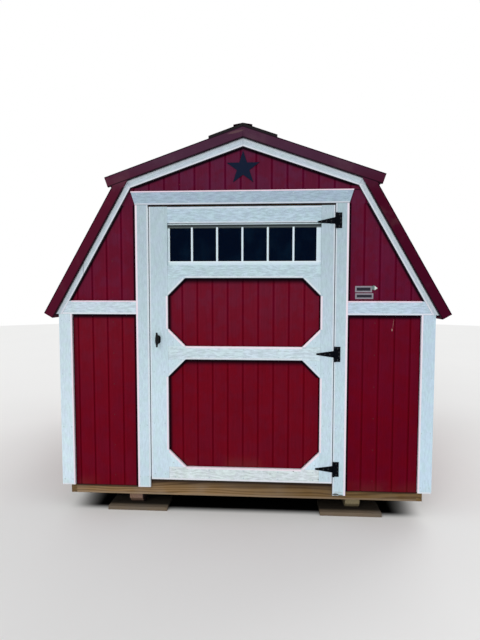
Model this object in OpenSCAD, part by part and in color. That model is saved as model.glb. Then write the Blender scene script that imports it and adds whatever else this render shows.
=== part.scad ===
// Small gambrel-roofed storage barn on two skids: grooved red siding, white trim boards,
// a ribbed metal roof, and one wide door with a transom window, strap hinges and a T handle.
// The front, with the door, faces -Y. Z is 0 on the ground, X and Y are 0 mid plan.

/* [Walls] */
// Width over the wall framing
wall_w = 2438; // [2300:1:2700]
// Length over the wall framing
wall_l = 3048; // [2000:1:4800]
// Height of the side walls, from the floor to the top of the plate
wall_h = 1219; // [1160:1:1320]
// Thickness of studs, plates and rafters
stud_t = 38; // [30:1:50]
// Depth of studs, plates and rafters
stud_d = 89; // [70:1:110]
// Number of bays between the roof frames
bays = 5; // [3:1:8]
// Number of bays between the studs of the back wall
back_bays = 4; // [3:1:6]
// Height of the header over the doorway
header_h = 89; // [60:1:110]
// Depth of the header over the doorway
header_d = 76; // [60:1:89]

/* [Floor] */
// Length of a ground pad, across the skid
pad_l = 410; // [200:1:600]
// Width of a ground pad, along the skid
pad_w = 190; // [100:1:300]
// Thickness of the ground pads
pad_t = 25; // [15:1:60]
// How far the end pads reach out past the skids' ends
pad_out = 40; // [0:1:60]
// How far the pads' middle lies inside the skid's middle
pad_in = 16; // [0:1:60]
// Number of pads under each skid
pad_rows = 3; // [2:1:5]
// Distance of a skid's middle from the middle of the barn
skid_x = 742; // [500:1:900]
// Width of a skid
skid_w = 95; // [80:1:150]
// Height of a skid
skid_h = 80; // [75:1:150]
// Length of the bevel under a skid's ends
skid_bevel = 45; // [20:1:70]
// How far the skids' ends stand in from the wall framing
skid_in = 12; // [0:1:40]
// How far the floor frame stands in from the wall framing at each side
floor_in = 20; // [0:1:40]
// Thickness of the floor joists and side rims
joist_t = 38; // [30:1:50]
// Height of the floor joists and side rims
joist_h = 98; // [80:1:140]
// Number of gaps between the floor joists
joist_bays = 7; // [4:1:12]
// Thickness of the floor deck
deck_t = 16; // [12:1:25]

/* [Siding] */
// Thickness of the siding
siding_t = 11; // [9:1:16]
// Distance between the siding's grooves
groove_pitch = 101.6; // [80:0.1:210]
// Width of a groove
groove_w = 8; // [5:1:14]
// Depth of a groove
groove_d = 4; // [2:1:6]
// How far the siding hangs below the floor
siding_lap = 52; // [20:1:90]
// Place of one groove left of the door
left_groove_x = -1020; // [-1100:1:-900]
// Place of one groove right of the door
right_groove_x = 790; // [700:1:900]
// Place of one groove over the door
gable_groove_x = -15; // [-50:1:50]
// Place of one groove on the door leaf
leaf_groove_x = 0; // [-50:1:50]

/* [Roof] */
// How far the roof's knuckle stands out past the jamb board on the doorway's wider side
knuckle_out = 90; // [82:1:104]
// Height of the roof's knuckle over the head board
knuckle_up = 126; // [118:1:150]
// Height of the roof line over the plate, at the wall framing's face
heel_rise = 138; // [131:1:146]
// Pitch of the upper roof, in degrees
upper_pitch = 19; // [17:0.5:21]
// How far the lower roof runs out past the wall framing
eave_over = 124; // [116:1:138]
// How far the upper roof runs out past the knuckle
knuckle_over = 106; // [90:1:115]
// How far the soffit's underside lies under the lower end of the roof line
tail_drop = 7; // [4:1:14]
// Thickness of the roof deck
roof_deck_t = 12; // [9:1:15]
// Thickness of the roofing sheet
sheet_t = 1; // [0.8:0.1:1.5]
// Height of a rib of the roofing
rib_h = 16; // [10:1:20]
// Width of a rib at its top
rib_top = 18; // [10:1:24]
// Width of a rib at its foot
rib_base = 44; // [30:1:60]
// Distance between ribs
rib_pitch = 229; // [180:1:305]
// Number of minor ribs between two ribs
minor_ribs = 2; // [1:1:3]
// Height of a minor rib
minor_rib_h = 3; // [2:0.5:5]
// Width of a minor rib at its top
minor_rib_top = 8; // [5:1:12]
// Width of a minor rib at its foot
minor_rib_base = 20; // [14:1:24]
// Half width of the ridge cap
cap_x = 222; // [150:1:300]
// Thickness of the ridge cap
cap_t = 1.2; // [0.8:0.1:2]
// Half width of the ridge cap's raised middle
cap_mid_x = 61; // [30:1:90]
// Height of the raised middle at its edges
cap_mid_h = 12; // [6:1:20]
// Height of the raised middle at the ridge, over the line of the cap
cap_peak_h = 2; // [0:1:10]
// Width of the closure strips under the ridge cap
closure_w = 25; // [15:1:35]
// Gap between pieces that lie on each other along the slopes
lap_gap = 0.2; // [0.1:0.05:0.5]
// Reach of the gussets from a corner of the roof frame
gusset_l = 250; // [150:1:300]
// Thickness of the gussets
gusset_t = 12; // [9:1:18]

/* [Trim] */
// Thickness of the trim boards
trim_t = 19; // [15:1:25]
// Width of corner, band and head boards
trim_w = 89; // [70:1:110]
// Width of the jamb boards beside the doorway
jamb_w = 85; // [72:1:100]
// Width of the upper gable boards
upper_board_w = 101; // [90:1:115]
// Width of the lower gable boards
lower_board_w = 89; // [80:1:100]
// Depth of the rakes, square to the slope
rake_d = 66; // [55:1:72]
// Thickness of the boards behind the rake trim
rake_t = 19; // [12:1:25]
// Thickness of the metal rake trim
metal_t = 1.5; // [1:0.1:2]
// How far the rake trim lies over the roofing
rake_leg = 32; // [20:1:40]
// Thickness of the fascia boards
fascia_t = 19; // [15:1:22]
// Depth of the fascia under the upper roof's edge, square to the slope
knuckle_fascia_d = 50; // [40:1:52]
// Thickness of the soffit boards
soffit_t = 11; // [9:1:14]
// How far the corner boards end over the siding's lower edge
corner_lift = 5; // [0:1:20]
// How far the left jamb board reaches below the siding
left_jamb_drop = 0; // [0:1:30]
// How far the right jamb board reaches below the siding
right_jamb_drop = 25; // [0:1:35]
// How far each end of the head board's top runs past the jamb boards
head_flare = 28; // [0:1:32]
// Outer radius of the star on the gable
star_r = 112; // [60:1:115]
// Thickness of the star
star_t = 5; // [3:1:10]
// Height of the star's middle over the roof's knuckle
star_up = 20; // [0:1:24]

/* [Door] */
// Width of the doorway
opening_w = 1234; // [1100:1:1400]
// Place of the doorway's middle
opening_x = -15; // [-40:1:40]
// Height of the doorway over the floor
opening_h = 1857; // [1720:1:2050]
// Gap beside the leaf at the latch
latch_gap = 9; // [8:1:14]
// Gap beside the leaf at the hinges
hinge_gap = 5; // [5:1:8]
// Gap over the leaf
head_gap = 12; // [6:1:20]
// Gap under the leaf
sill_gap = 5; // [5:1:12]
// Width of the leaf's stile at the latch
latch_stile_w = 122; // [100:1:140]
// Width of the leaf's stile at the hinges
hinge_stile_w = 87; // [80:1:110]
// Height of the bottom rail
bottom_rail_h = 90; // [80:1:120]
// Height of the lower panel
lower_panel_h = 736; // [650:1:760]
// Height of the middle rail
mid_rail_h = 90; // [70:1:110]
// Height of the rail under the window
window_rail_h = 85; // [70:1:100]
// Height of the window between its rails
window_h = 275; // [200:1:300]
// Height of the top rail
top_rail_h = 110; // [80:1:130]
// Leg of the corner braces
brace_leg = 117; // [60:1:180]
// Face width of the window frame at the latch side
window_left = 14; // [12:1:40]
// Face width of the window frame at the hinge side
window_right = 30; // [12:1:40]
// Face width of the window frame at the bottom
window_foot = 27; // [15:1:40]
// Face width of the window frame at the top
window_top = 25; // [11:1:30]
// How far the window frame stands out from the leaf's skin
window_proud = 9; // [5:1:18]
// Wall of the window frame where it passes through the skin
window_wall = 10; // [5:1:11]
// Thickness of the panes
pane_t = 4; // [3:1:6]
// Thickness of the leaf's back frame
back_t = 38; // [25:1:44]
// Width of the boards of the leaf's back frame
back_w = 89; // [70:1:100]

/* [Hinges] */
// How far the pins stand from the middle of the gap beside the leaf, over the jamb board
pin_over = 7; // [0:1:10]
// Distance of the end hinges' middle from the leaf's ends
hinge_inset = 98; // [60:1:150]
// Height of a hinge plate
plate_h = 100; // [80:1:130]
// Width of a hinge plate, from the pin
plate_w = 35; // [30:1:60]
// Thickness of plates and straps
plate_t = 2.5; // [2:0.1:3]
// Radius of a hinge barrel
barrel_r = 6; // [5:0.5:8]
// Radius of a hinge pin
pin_r = 3; // [2:0.5:3.5]
// Running gap round the pins
pin_gap = 0.1; // [0.05:0.01:0.1]
// Gap between the barrel and the boards
barrel_gap = 0.5; // [0.3:0.1:1]
// Gap between the knuckles of a hinge
knuckle_gap = 0.5; // [0.3:0.1:1]
// Length of a strap, from the pin
strap_l = 122; // [100:1:200]
// Width of a strap at the barrel
strap_w = 46; // [20:1:50]
// Width of a strap at its tip
strap_tip_w = 12; // [8:1:16]
// How far the tip of the top strap hangs under its pin's middle
top_strap_drop = 9; // [0:1:15]

/* [Handle] */
// Distance of the handle's spindle from the leaf's edge
handle_in = 53; // [45:1:60]
// Height of the handle's spindle over the floor
handle_up = 966; // [930:1:1050]
// Length of the T bar
handle_l = 98; // [70:1:120]
// Radius of the T bar at its middle
handle_r = 11; // [7:0.5:12]
// Radius of the T bar near its ends
handle_end_r = 6.5; // [4:0.5:7]
// How far the T bar's middle stands out from the leaf
handle_stand = 36; // [30:1:50]
// Radius of the spindle
spindle_r = 6; // [5:0.5:8]
// Gap round the spindle where it passes through the boards
spindle_hole_gap = 2; // [1:0.5:4]
// Length of the oval base
base_l = 58; // [44:1:70]
// Width of the oval base
base_w = 36; // [24:1:40]
// Thickness of the oval base
base_t = 4; // [3:1:6]
// Length of the turn bar behind the leaf
turn_bar_l = 70; // [40:1:80]
// Width of the turn bar
turn_bar_w = 18; // [14:1:24]
// Thickness of the turn bar
turn_bar_t = 4; // [3:1:6]

/* [Hidden] */
$fn = 48;

// Small working amounts: an overlap for cuts, and the gap between boards that meet end to end
cut = 1;
joint_gap = 1;

// Colours
red = [0.48, 0.04, 0.08];
dark_red = [0.30, 0.03, 0.07];
white = [0.86, 0.89, 0.90];
black = [0.04, 0.04, 0.05];
treated = [0.55, 0.42, 0.25];
timber = [0.80, 0.66, 0.46];
board = [0.72, 0.56, 0.36];
grey = [0.55, 0.54, 0.52];

// Levels
joist_z = pad_t + skid_h;
deck_z = joist_z + joist_h;
floor_z = deck_z + deck_t;
siding_z = floor_z - siding_lap;
plate_z = floor_z + wall_h;
head_z = floor_z + opening_h;

// Faces of the walls
side_x = wall_w / 2;
siding_x = side_x + siding_t;
corner_x = siding_x + trim_t;
frame_y = wall_l / 2;
face_y = frame_y + siding_t;
trim_y = face_y + trim_t;
rake_y = trim_y + rake_t;
metal_y = rake_y + metal_t;

// Edges of the doorway
open_x0 = opening_x - opening_w / 2;
open_x1 = opening_x + opening_w / 2;

// Roof lines: each depth is measured square to the slope, from the top of the rake trim
knuckle_x = max(-open_x0, open_x1) + jamb_w + knuckle_out;
knuckle_z = head_z + trim_w + knuckle_up;
lower_pitch = atan((knuckle_z - plate_z - heel_rise) / (side_x - knuckle_x));
eave_z = plate_z + heel_rise - eave_over * tan(lower_pitch) - tail_drop;
tail_z = eave_z + soffit_t;
ridge_z = knuckle_z + knuckle_x * tan(upper_pitch);
eave_x = side_x + eave_over;
over_x = knuckle_x + knuckle_over;
sheet_top_d = metal_t + lap_gap;
deck_top_d = sheet_top_d + sheet_t + lap_gap;
deck_d = deck_top_d + roof_deck_t;
frame_d = deck_d + lap_gap;
rafter_d = frame_d + stud_d;
rib_top_d = sheet_top_d - rib_h;
upper_in_d = frame_d + upper_board_w;
lower_in_d = frame_d + lower_board_w;

// The leaf, its rails and panels, and the panes
leaf_x0 = open_x0 + latch_gap;
leaf_x1 = open_x1 - hinge_gap;
leaf_z0 = floor_z + sill_gap;
leaf_z1 = head_z - head_gap;
panel_x0 = leaf_x0 + latch_stile_w;
panel_x1 = leaf_x1 - hinge_stile_w;
lower_panel_z = leaf_z0 + bottom_rail_h;
mid_rail_z = lower_panel_z + lower_panel_h;
upper_panel_z = mid_rail_z + mid_rail_h;
top_rail_z = leaf_z1 - top_rail_h;
window_z = top_rail_z - window_h;
window_rail_z = window_z - window_rail_h;
pane_x0 = panel_x0 + window_left;
pane_x1 = panel_x1 - window_right;
pane_z0 = window_z + window_foot;
pane_z1 = top_rail_z - window_top;
back_y = frame_y - back_t;

// Hinge and handle axes
hinge_x = open_x1 - hinge_gap / 2 + pin_over;
hinge_y = trim_y + barrel_gap + barrel_r;
hinge_z = [
    leaf_z0 + hinge_inset,
    mid_rail_z + mid_rail_h / 2,
    leaf_z1 - hinge_inset
];
handle_x = leaf_x0 + handle_in;
handle_z = floor_z + handle_up;
spindle_hole_r = spindle_r + spindle_hole_gap;

// Height of the upper and lower roof lines at x, and the lower line's x at a height
function upper_z(x, d) = ridge_z - x * tan(upper_pitch) - d / cos(upper_pitch);
function lower_z(x, d) = knuckle_z - (x - knuckle_x) * tan(lower_pitch) - d / cos(lower_pitch);
function lower_x(z, d) = knuckle_x + (knuckle_z - z - d / cos(lower_pitch)) / tan(lower_pitch);

// Points on the roof lines: at the ridge, at a place on the upper line, and where two lines cross
function ridge_pt(d) = [0, upper_z(0, d)];
function upper_pt(x, d) = [x, upper_z(x, d)];
function cross_x(du, dl) = knuckle_x
    + (du / cos(upper_pitch) - dl / cos(lower_pitch)) / (tan(lower_pitch) - tan(upper_pitch));
function cross_pt(du, dl) = [cross_x(du, dl), upper_z(cross_x(du, dl), du)];

// Directions down the two slopes
down_upper = [cos(upper_pitch), -sin(upper_pitch)];
down_lower = [cos(lower_pitch), -sin(lower_pitch)];

// Ends of the slopes, cut square, and the same a fascia's thickness higher up
function upper_end(d) = [over_x - d * sin(upper_pitch), upper_z(over_x, 0) - d * cos(upper_pitch)];
function lower_end(d) = [eave_x - d * sin(lower_pitch), lower_z(eave_x, 0) - d * cos(lower_pitch)];
function upper_back(d) = upper_end(d) - fascia_t * down_upper;
function lower_back(d) = lower_end(d) - fascia_t * down_lower;

// Tails of what ends at the back of the eave's fascia, at a depth, and its x at a height
function tail_pt(d) = lower_back(d) - lap_gap * down_lower;
function tail_x(z) = tail_pt(0)[0] + (z - tail_pt(0)[1]) * tan(lower_pitch);

// The point mirrored to the other side of the barn
function other(p) = [-p[0], p[1]];

// Places of the grooves that lie whole between x0 and x1, one of them at place
function grooves(x0, x1, place) = [
    for (k = [ceil((x0 + groove_w - place) / groove_pitch) : floor((x1 - groove_w - place) / groove_pitch)])
        place + k * groove_pitch
];

// Places along Y of the roof frames and of the floor joists
function frame_place(i) = -frame_y + stud_t / 2 + i * (wall_l - stud_t) / bays;
function joist_place(i) = -frame_y + joist_t / 2 + i * (wall_l - joist_t) / joist_bays;

// A solid from an outline in X and Z, between two places along Y
module prism(points, y0, y1) {
    translate([0, y1, 0])
        rotate([90, 0, 0])
            linear_extrude(y1 - y0)
                polygon(points);
}

// A block between two corners
module block(low, high) {
    translate(low)
        cube(high - low);
}

module both_sides() {
    children();
    mirror([1, 0, 0])
        children();
}

module both_ends() {
    children();
    mirror([0, 1, 0])
        children();
}

// Cuts grooves in what lies on the front wall's face
module front_grooves(places) {
    for (x = places)
        block([x - groove_w / 2, -face_y - cut, 0], [x + groove_w / 2, -face_y + groove_d, ridge_z]);
}

// A sheet of grooved siding on the front wall, with an outline in X and Z
module front_sheet(points, places) {
    difference() {
        prism(points, -face_y, -frame_y);
        front_grooves(places);
    }
}

// A trim board on the front wall
module front_board(points) {
    prism(points, -trim_y, -face_y);
}

function rect(x0, x1, z0, z1) = [[x0, z0], [x1, z0], [x1, z1], [x0, z1]];

module ground_pads() {
    span = wall_l - 2 * skid_in + 2 * pad_out - pad_w;
    color(grey)
        both_sides()
            for (i = [0 : pad_rows - 1])
                translate([skid_x - pad_in - pad_l / 2, -span / 2 + i * span / (pad_rows - 1) - pad_w / 2, 0])
                    cube([pad_l, pad_w, pad_t]);
}

module skids() {
    end = frame_y - skid_in;
    outline = [
        [-end + skid_bevel, pad_t],
        [end - skid_bevel, pad_t],
        [end, pad_t + skid_bevel],
        [end, joist_z],
        [-end, joist_z],
        [-end, pad_t + skid_bevel]
    ];
    color(treated)
        both_sides()
            translate([skid_x - skid_w / 2, 0, 0])
                rotate([90, 0, 90])
                    linear_extrude(skid_w)
                        polygon(outline);
}

module side_rims() {
    edge = side_x - floor_in;
    color(treated)
        both_sides()
            block([edge - joist_t, -frame_y, joist_z], [edge, frame_y, deck_z]);
}

module floor_joists() {
    reach = side_x - floor_in - joist_t;
    color(treated)
        for (i = [0 : joist_bays])
            block(
                [-reach, joist_place(i) - joist_t / 2, joist_z],
                [reach, joist_place(i) + joist_t / 2, deck_z]
            );
}

module floor_deck() {
    color(board)
        block([-side_x, -frame_y, deck_z], [side_x, frame_y, floor_z]);
}

module side_plates() {
    color(timber)
        both_sides() {
            block([side_x - stud_d, -frame_y, floor_z], [side_x, frame_y, floor_z + stud_t]);
            block([side_x - stud_d, -frame_y, plate_z - stud_t], [side_x, frame_y, plate_z]);
        }
}

module end_plates() {
    reach = side_x - stud_d;
    inner = frame_y - stud_d;
    color(timber) {
        block([-reach, -frame_y, floor_z], [open_x0, -inner, floor_z + stud_t]);
        block([open_x1, -frame_y, floor_z], [reach, -inner, floor_z + stud_t]);
        block([-reach, inner, floor_z], [reach, frame_y, floor_z + stud_t]);
    }
}

module side_studs() {
    color(timber)
        both_sides()
            for (i = [0 : bays])
                block(
                    [side_x - stud_d, frame_place(i) - stud_t / 2, floor_z + stud_t],
                    [side_x, frame_place(i) + stud_t / 2, plate_z - stud_t]
                );
}

// All that lies under the rafters of the end frames
module under_rafters() {
    top_d = rafter_d + lap_gap;
    right = [
        [side_x, floor_z],
        [side_x, lower_z(side_x, top_d)],
        cross_pt(top_d, top_d)
    ];
    left = [for (i = [len(right) - 1 : -1 : 0]) other(right[i])];
    prism(concat(right, [ridge_pt(top_d)], left), -frame_y, frame_y);
}

// A stud of an end wall, between two places across, from a height up to the rafters
module end_stud(x0, x1, z0, y0, y1) {
    intersection() {
        block([x0, y0, z0], [x1, y1, ridge_z]);
        under_rafters();
    }
}

module end_studs() {
    foot = floor_z + stud_t;
    edge = side_x - stud_d;
    inner = frame_y - stud_d;
    left_mid = (-edge + stud_t + open_x0 - stud_t) / 2;
    right_mid = (edge - stud_t + open_x1 + stud_t) / 2;
    front = [-edge, left_mid - stud_t / 2, open_x0 - stud_t, open_x1, right_mid - stud_t / 2, edge - stud_t];
    color(timber) {
        for (x = front)
            end_stud(x, x + stud_t, foot, -frame_y, -inner);
        end_stud(opening_x - stud_t / 2, opening_x + stud_t / 2, head_z + header_h, -frame_y, -inner);
        for (i = [0 : back_bays]) {
            x = -edge + i * (2 * edge - stud_t) / back_bays;
            end_stud(x, x + stud_t, foot, inner, frame_y);
        }
    }
}

module door_header() {
    color(timber)
        block([open_x0, -frame_y, head_z], [open_x1, -frame_y + header_d, head_z + header_h]);
}

module lower_rafters() {
    outline = [
        cross_pt(frame_d, frame_d),
        tail_pt(frame_d),
        [tail_x(tail_z), tail_z],
        [max(side_x, lower_x(tail_z, rafter_d)), tail_z],
        [side_x, max(tail_z, lower_z(side_x, rafter_d))],
        [side_x, plate_z],
        [lower_x(plate_z, rafter_d), plate_z],
        cross_pt(rafter_d, rafter_d)
    ];
    color(timber)
        both_sides()
            for (i = [0 : bays])
                prism(outline, frame_place(i) - stud_t / 2, frame_place(i) + stud_t / 2);
}

module upper_rafters() {
    outline = [
        upper_pt(joint_gap / 2, frame_d),
        cross_pt(frame_d, frame_d),
        cross_pt(rafter_d, rafter_d),
        upper_pt(joint_gap / 2, rafter_d)
    ];
    color(timber)
        both_sides()
            for (i = [0 : bays])
                prism(outline, frame_place(i) - stud_t / 2, frame_place(i) + stud_t / 2);
}

// Plywood gussets on one face of each inner roof frame, at the knuckles and the ridge
module roof_gussets() {
    outer = cross_pt(frame_d, frame_d);
    inner = cross_pt(rafter_d, rafter_d);
    knuckle = [
        outer - gusset_l * down_upper,
        outer,
        outer + gusset_l * down_lower,
        inner + gusset_l * down_lower,
        inner - gusset_l * down_upper
    ];
    far = gusset_l * cos(upper_pitch);
    ridge = [
        ridge_pt(frame_d),
        upper_pt(far, frame_d),
        upper_pt(far, rafter_d),
        other(upper_pt(far, rafter_d)),
        other(upper_pt(far, frame_d))
    ];
    color(board)
        for (i = [1 : bays - 1]) {
            y = frame_place(i) + stud_t / 2;
            both_sides()
                prism(knuckle, y, y + gusset_t);
            prism(ridge, y, y + gusset_t);
        }
}

module front_wall_siding() {
    color(red) {
        front_sheet(
            rect(-siding_x, open_x0, siding_z, eave_z),
            grooves(-siding_x, open_x0, left_groove_x)
        );
        front_sheet(
            rect(open_x1, siding_x, siding_z, eave_z),
            grooves(open_x1, siding_x, right_groove_x)
        );
    }
}

// The siding between the band board and the head, right of a doorway whose edge is at x
function shoulder(x) = [
    [x, eave_z],
    [tail_x(eave_z), eave_z],
    tail_pt(frame_d),
    [lower_x(head_z, frame_d), head_z],
    [x, head_z]
];

module front_shoulder_siding() {
    color(red) {
        front_sheet(shoulder(open_x1), grooves(open_x1, side_x, right_groove_x));
        front_sheet(
            [for (p = shoulder(-open_x0)) other(p)],
            grooves(-side_x, open_x0, left_groove_x)
        );
    }
}

module front_gable_siding() {
    edge = lower_x(head_z, frame_d);
    outline = [
        [edge, head_z],
        cross_pt(frame_d, frame_d),
        ridge_pt(frame_d),
        other(cross_pt(frame_d, frame_d)),
        [-edge, head_z]
    ];
    color(red)
        front_sheet(outline, grooves(-edge, edge, gable_groove_x));
}

module back_wall_siding() {
    color(red)
        rotate([0, 0, 180])
            front_sheet(rect(-siding_x, siding_x, siding_z, eave_z), grooves(-siding_x, siding_x, 0));
}

module back_gable_siding() {
    right = [
        [tail_x(eave_z), eave_z],
        tail_pt(frame_d),
        cross_pt(frame_d, frame_d)
    ];
    left = [for (i = [len(right) - 1 : -1 : 0]) other(right[i])];
    color(red)
        rotate([0, 0, 180])
            front_sheet(concat(right, [ridge_pt(frame_d)], left), grooves(-side_x, side_x, 0));
}

module side_siding() {
    color(red)
        both_sides()
            difference() {
                block([side_x, -frame_y, siding_z], [siding_x, frame_y, tail_z]);
                for (y = grooves(-frame_y, frame_y, groove_pitch / 2))
                    block(
                        [siding_x - groove_d, y - groove_w / 2, siding_z - cut],
                        [siding_x + cut, y + groove_w / 2, tail_z + cut]
                    );
            }
}

module roof_deck() {
    upper = [
        upper_pt(joint_gap / 2, deck_top_d),
        upper_end(deck_top_d),
        upper_end(deck_d),
        upper_pt(joint_gap / 2, deck_d)
    ];
    lower = [
        cross_pt(deck_d + joint_gap, deck_top_d),
        lower_end(deck_top_d),
        lower_end(deck_d),
        cross_pt(deck_d + joint_gap, deck_d)
    ];
    color(board)
        both_sides() {
            prism(upper, -trim_y, trim_y);
            prism(lower, -trim_y, trim_y);
        }
}

// Ribs: their number and places along Y, clear of the rake trim
rib_count = floor((2 * trim_y - 2 * rake_leg - rib_base) / rib_pitch) + 1;
function rib_place(i) = (i - (rib_count - 1) / 2) * rib_pitch;

// Each rib and minor rib along Y: its place, half its width at the foot and at the top, and its height
rib_forms = [
    for (i = [0 : rib_count - 1])
        for (k = [0 : i < rib_count - 1 ? minor_ribs : 0])
            let(y = rib_place(i) + k * rib_pitch / (minor_ribs + 1))
                k == 0
                    ? [y, rib_base / 2, rib_top / 2, rib_h]
                    : [y, minor_rib_base / 2, minor_rib_top / 2, minor_rib_h]
];

// The roofing's outline across its ribs, lifted from its flat
function rib_line(lift) = [
    for (rib = rib_forms)
        for (p = [[-rib[1], 0], [-rib[2], rib[3]], [rib[2], rib[3]], [rib[1], 0]])
            [rib[0] + p[0], p[1] + lift]
];

// A ribbed sheet that runs down a slope from its top end, with X along the slope
module ribbed_sheet(length) {
    top = concat([[-trim_y, 0]], rib_line(0), [[trim_y, 0]]);
    under = concat([[-trim_y, -sheet_t]], rib_line(-sheet_t), [[trim_y, -sheet_t]]);
    rotate([90, 0, 90])
        linear_extrude(length)
            polygon(concat(top, [for (i = [len(under) - 1 : -1 : 0]) under[i]]));
}

// Length of the slopes along the roof line, and where the sheets begin on them
upper_len = over_x / cos(upper_pitch);
lower_len = (eave_x - knuckle_x) / cos(lower_pitch);
ridge_start = cap_mid_x / 4;
lower_start = (cross_x(deck_d, rib_top_d) - knuckle_x + rib_top_d * sin(lower_pitch)) / cos(lower_pitch)
    + joint_gap;

module roofing() {
    color(dark_red)
        both_sides() {
            translate([0, 0, ridge_z])
                rotate([0, upper_pitch, 0])
                    translate([ridge_start, 0, -sheet_top_d])
                        ribbed_sheet(upper_len - ridge_start);
            translate([knuckle_x, 0, knuckle_z])
                rotate([0, lower_pitch, 0])
                    translate([lower_start, 0, -sheet_top_d])
                        ribbed_sheet(lower_len - lower_start);
        }
}

// The ridge cap lies on the ribs and has a raised middle
module ridge_cap() {
    under_d = rib_top_d - lap_gap;
    top_d = under_d - cap_t;
    peak = upper_z(0, top_d) + cap_peak_h;
    shoulder_z = upper_z(cap_mid_x, top_d) + cap_mid_h;
    inner_x = cap_mid_x - cap_t;
    outline = [
        [0, peak],
        [cap_mid_x, shoulder_z],
        upper_pt(cap_mid_x, top_d),
        upper_pt(cap_x, top_d),
        upper_pt(cap_x, under_d),
        upper_pt(inner_x, under_d),
        [inner_x, shoulder_z - cap_t],
        [0, peak - cap_t]
    ];
    left = [for (i = [len(outline) - 2 : -1 : 1]) other(outline[i])];
    color(dark_red)
        prism(concat(outline, left), -metal_y, metal_y);
}

// Foam strips between the roofing and the cap: over the rakes, and along the cap's edges
module ridge_closures() {
    rake = [
        upper_pt(cap_t, rib_top_d),
        upper_pt(cap_x, rib_top_d),
        upper_pt(cap_x, -lap_gap),
        upper_pt(cap_t, -lap_gap)
    ];
    edge_y = trim_y - rake_leg;
    color(black) {
        both_sides()
            both_ends()
                prism(rake, -metal_y, -metal_y + closure_w);
        both_sides()
            intersection() {
                translate([0, 0, ridge_z])
                    rotate([0, upper_pitch, 0])
                        block(
                            [cap_x / cos(upper_pitch) - closure_w * 2, -edge_y, -sheet_top_d],
                            [cap_x / cos(upper_pitch) - closure_w, edge_y, -rib_top_d]
                        );
                between_ribs();
            }
    }
}

// The space between the upper roofing's ribs, from the flat up
module between_ribs() {
    top = concat([[-trim_y, 0]], rib_line(0), [[trim_y, 0]]);
    translate([0, 0, ridge_z])
        rotate([0, upper_pitch, 0])
            translate([0, 0, -sheet_top_d])
                rotate([90, 0, 90])
                    linear_extrude(upper_len)
                        polygon(concat(top, [[trim_y, rib_h + cut], [-trim_y, rib_h + cut]]));
}

// Boards that close the lower edges of the two slopes
module roof_fascias() {
    eave = [lower_end(frame_d), lower_end(rake_d), lower_back(rake_d), lower_back(frame_d)];
    knuckle = [
        upper_end(frame_d),
        upper_end(knuckle_fascia_d),
        upper_back(knuckle_fascia_d),
        upper_back(frame_d)
    ];
    color(dark_red)
        both_sides() {
            prism(eave, -trim_y, trim_y);
            prism(knuckle, -trim_y, trim_y);
        }
}

module soffits() {
    outline = [
        [siding_x, tail_z],
        [siding_x, eave_z],
        [tail_x(eave_z), eave_z],
        [tail_x(tail_z), tail_z]
    ];
    color(red)
        both_sides()
            prism(outline, -frame_y, frame_y);
}

// An outline along the upper slope between two depths, and along the lower slope, longer by more at its ends
function upper_strip(d0, d1, more = 0) = [
    upper_pt(joint_gap / 2 - more, d0),
    upper_end(d0) + more * down_upper,
    upper_end(d1) + more * down_upper,
    upper_pt(joint_gap / 2 - more, d1)
];
function lower_strip(d0, d1, more = 0) = [
    cross_pt(rake_d + joint_gap - more, d0),
    lower_end(d0) + more * down_lower,
    lower_end(d1) + more * down_lower,
    cross_pt(rake_d + joint_gap - more, d1)
];

module rake_boards() {
    top = metal_t + lap_gap;
    low = rake_d - metal_t - lap_gap;
    color(dark_red)
        both_ends()
            both_sides() {
                prism(upper_strip(top, low), -rake_y, -trim_y);
                prism(lower_strip(top, low), -rake_y, -trim_y);
            }
}

// The folded metal over a rake board: face, leg over the roofing, and hem under the board
module rake_trim(whole, inside, under_leg) {
    leg_y = -trim_y + rake_leg;
    difference() {
        prism(whole, -metal_y, leg_y);
        prism(inside, -rake_y, leg_y + cut);
        prism(under_leg, -trim_y, leg_y + cut);
    }
}

module rake_trims() {
    low = rake_d - metal_t;
    under = rake_d + cut;
    color(dark_red)
        both_ends()
            both_sides() {
                rake_trim(
                    upper_strip(0, rake_d),
                    upper_strip(metal_t, low, cut),
                    upper_strip(metal_t, under, cut)
                );
                rake_trim(
                    lower_strip(0, rake_d),
                    lower_strip(metal_t, low, cut),
                    lower_strip(metal_t, under, cut)
                );
            }
}

module gable_boards() {
    outer = cross_pt(frame_d, frame_d);
    inner = cross_pt(upper_in_d, lower_in_d);
    upper = [
        upper_pt(joint_gap / 2, frame_d),
        outer - joint_gap * down_upper,
        inner - joint_gap * down_upper,
        upper_pt(joint_gap / 2, upper_in_d)
    ];
    lower = [
        outer,
        tail_pt(frame_d),
        [tail_x(eave_z), eave_z],
        [lower_x(eave_z, lower_in_d), eave_z],
        inner
    ];
    color(white)
        both_ends()
            both_sides() {
                front_board(upper);
                front_board(lower);
            }
}

// Band boards over the corner boards, cut to the gable boards at their outer ends
module band_boards() {
    top = eave_z + trim_w;
    outer_low = lower_x(eave_z, lower_in_d);
    outer_top = lower_x(top, lower_in_d);
    jamb_left = -open_x0 + jamb_w;
    jamb_right = open_x1 + jamb_w;
    left = [[jamb_left, eave_z], [outer_low, eave_z], [outer_top, top], [jamb_left, top]];
    color(white) {
        front_board([for (p = left) other(p)]);
        front_board([[jamb_right, eave_z], [outer_low, eave_z], [outer_top, top], [jamb_right, top]]);
        rotate([0, 0, 180])
            front_board([[-outer_low, eave_z], [outer_low, eave_z], [outer_top, top], [-outer_top, top]]);
    }
}

module end_corner_boards() {
    color(white)
        both_ends()
            both_sides()
                front_board(rect(corner_x - trim_w, corner_x, siding_z + corner_lift, eave_z));
}

module side_corner_boards() {
    color(white)
        both_ends()
            both_sides()
                block([siding_x, -face_y, siding_z + corner_lift], [corner_x, -face_y + trim_w, eave_z]);
}

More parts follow.
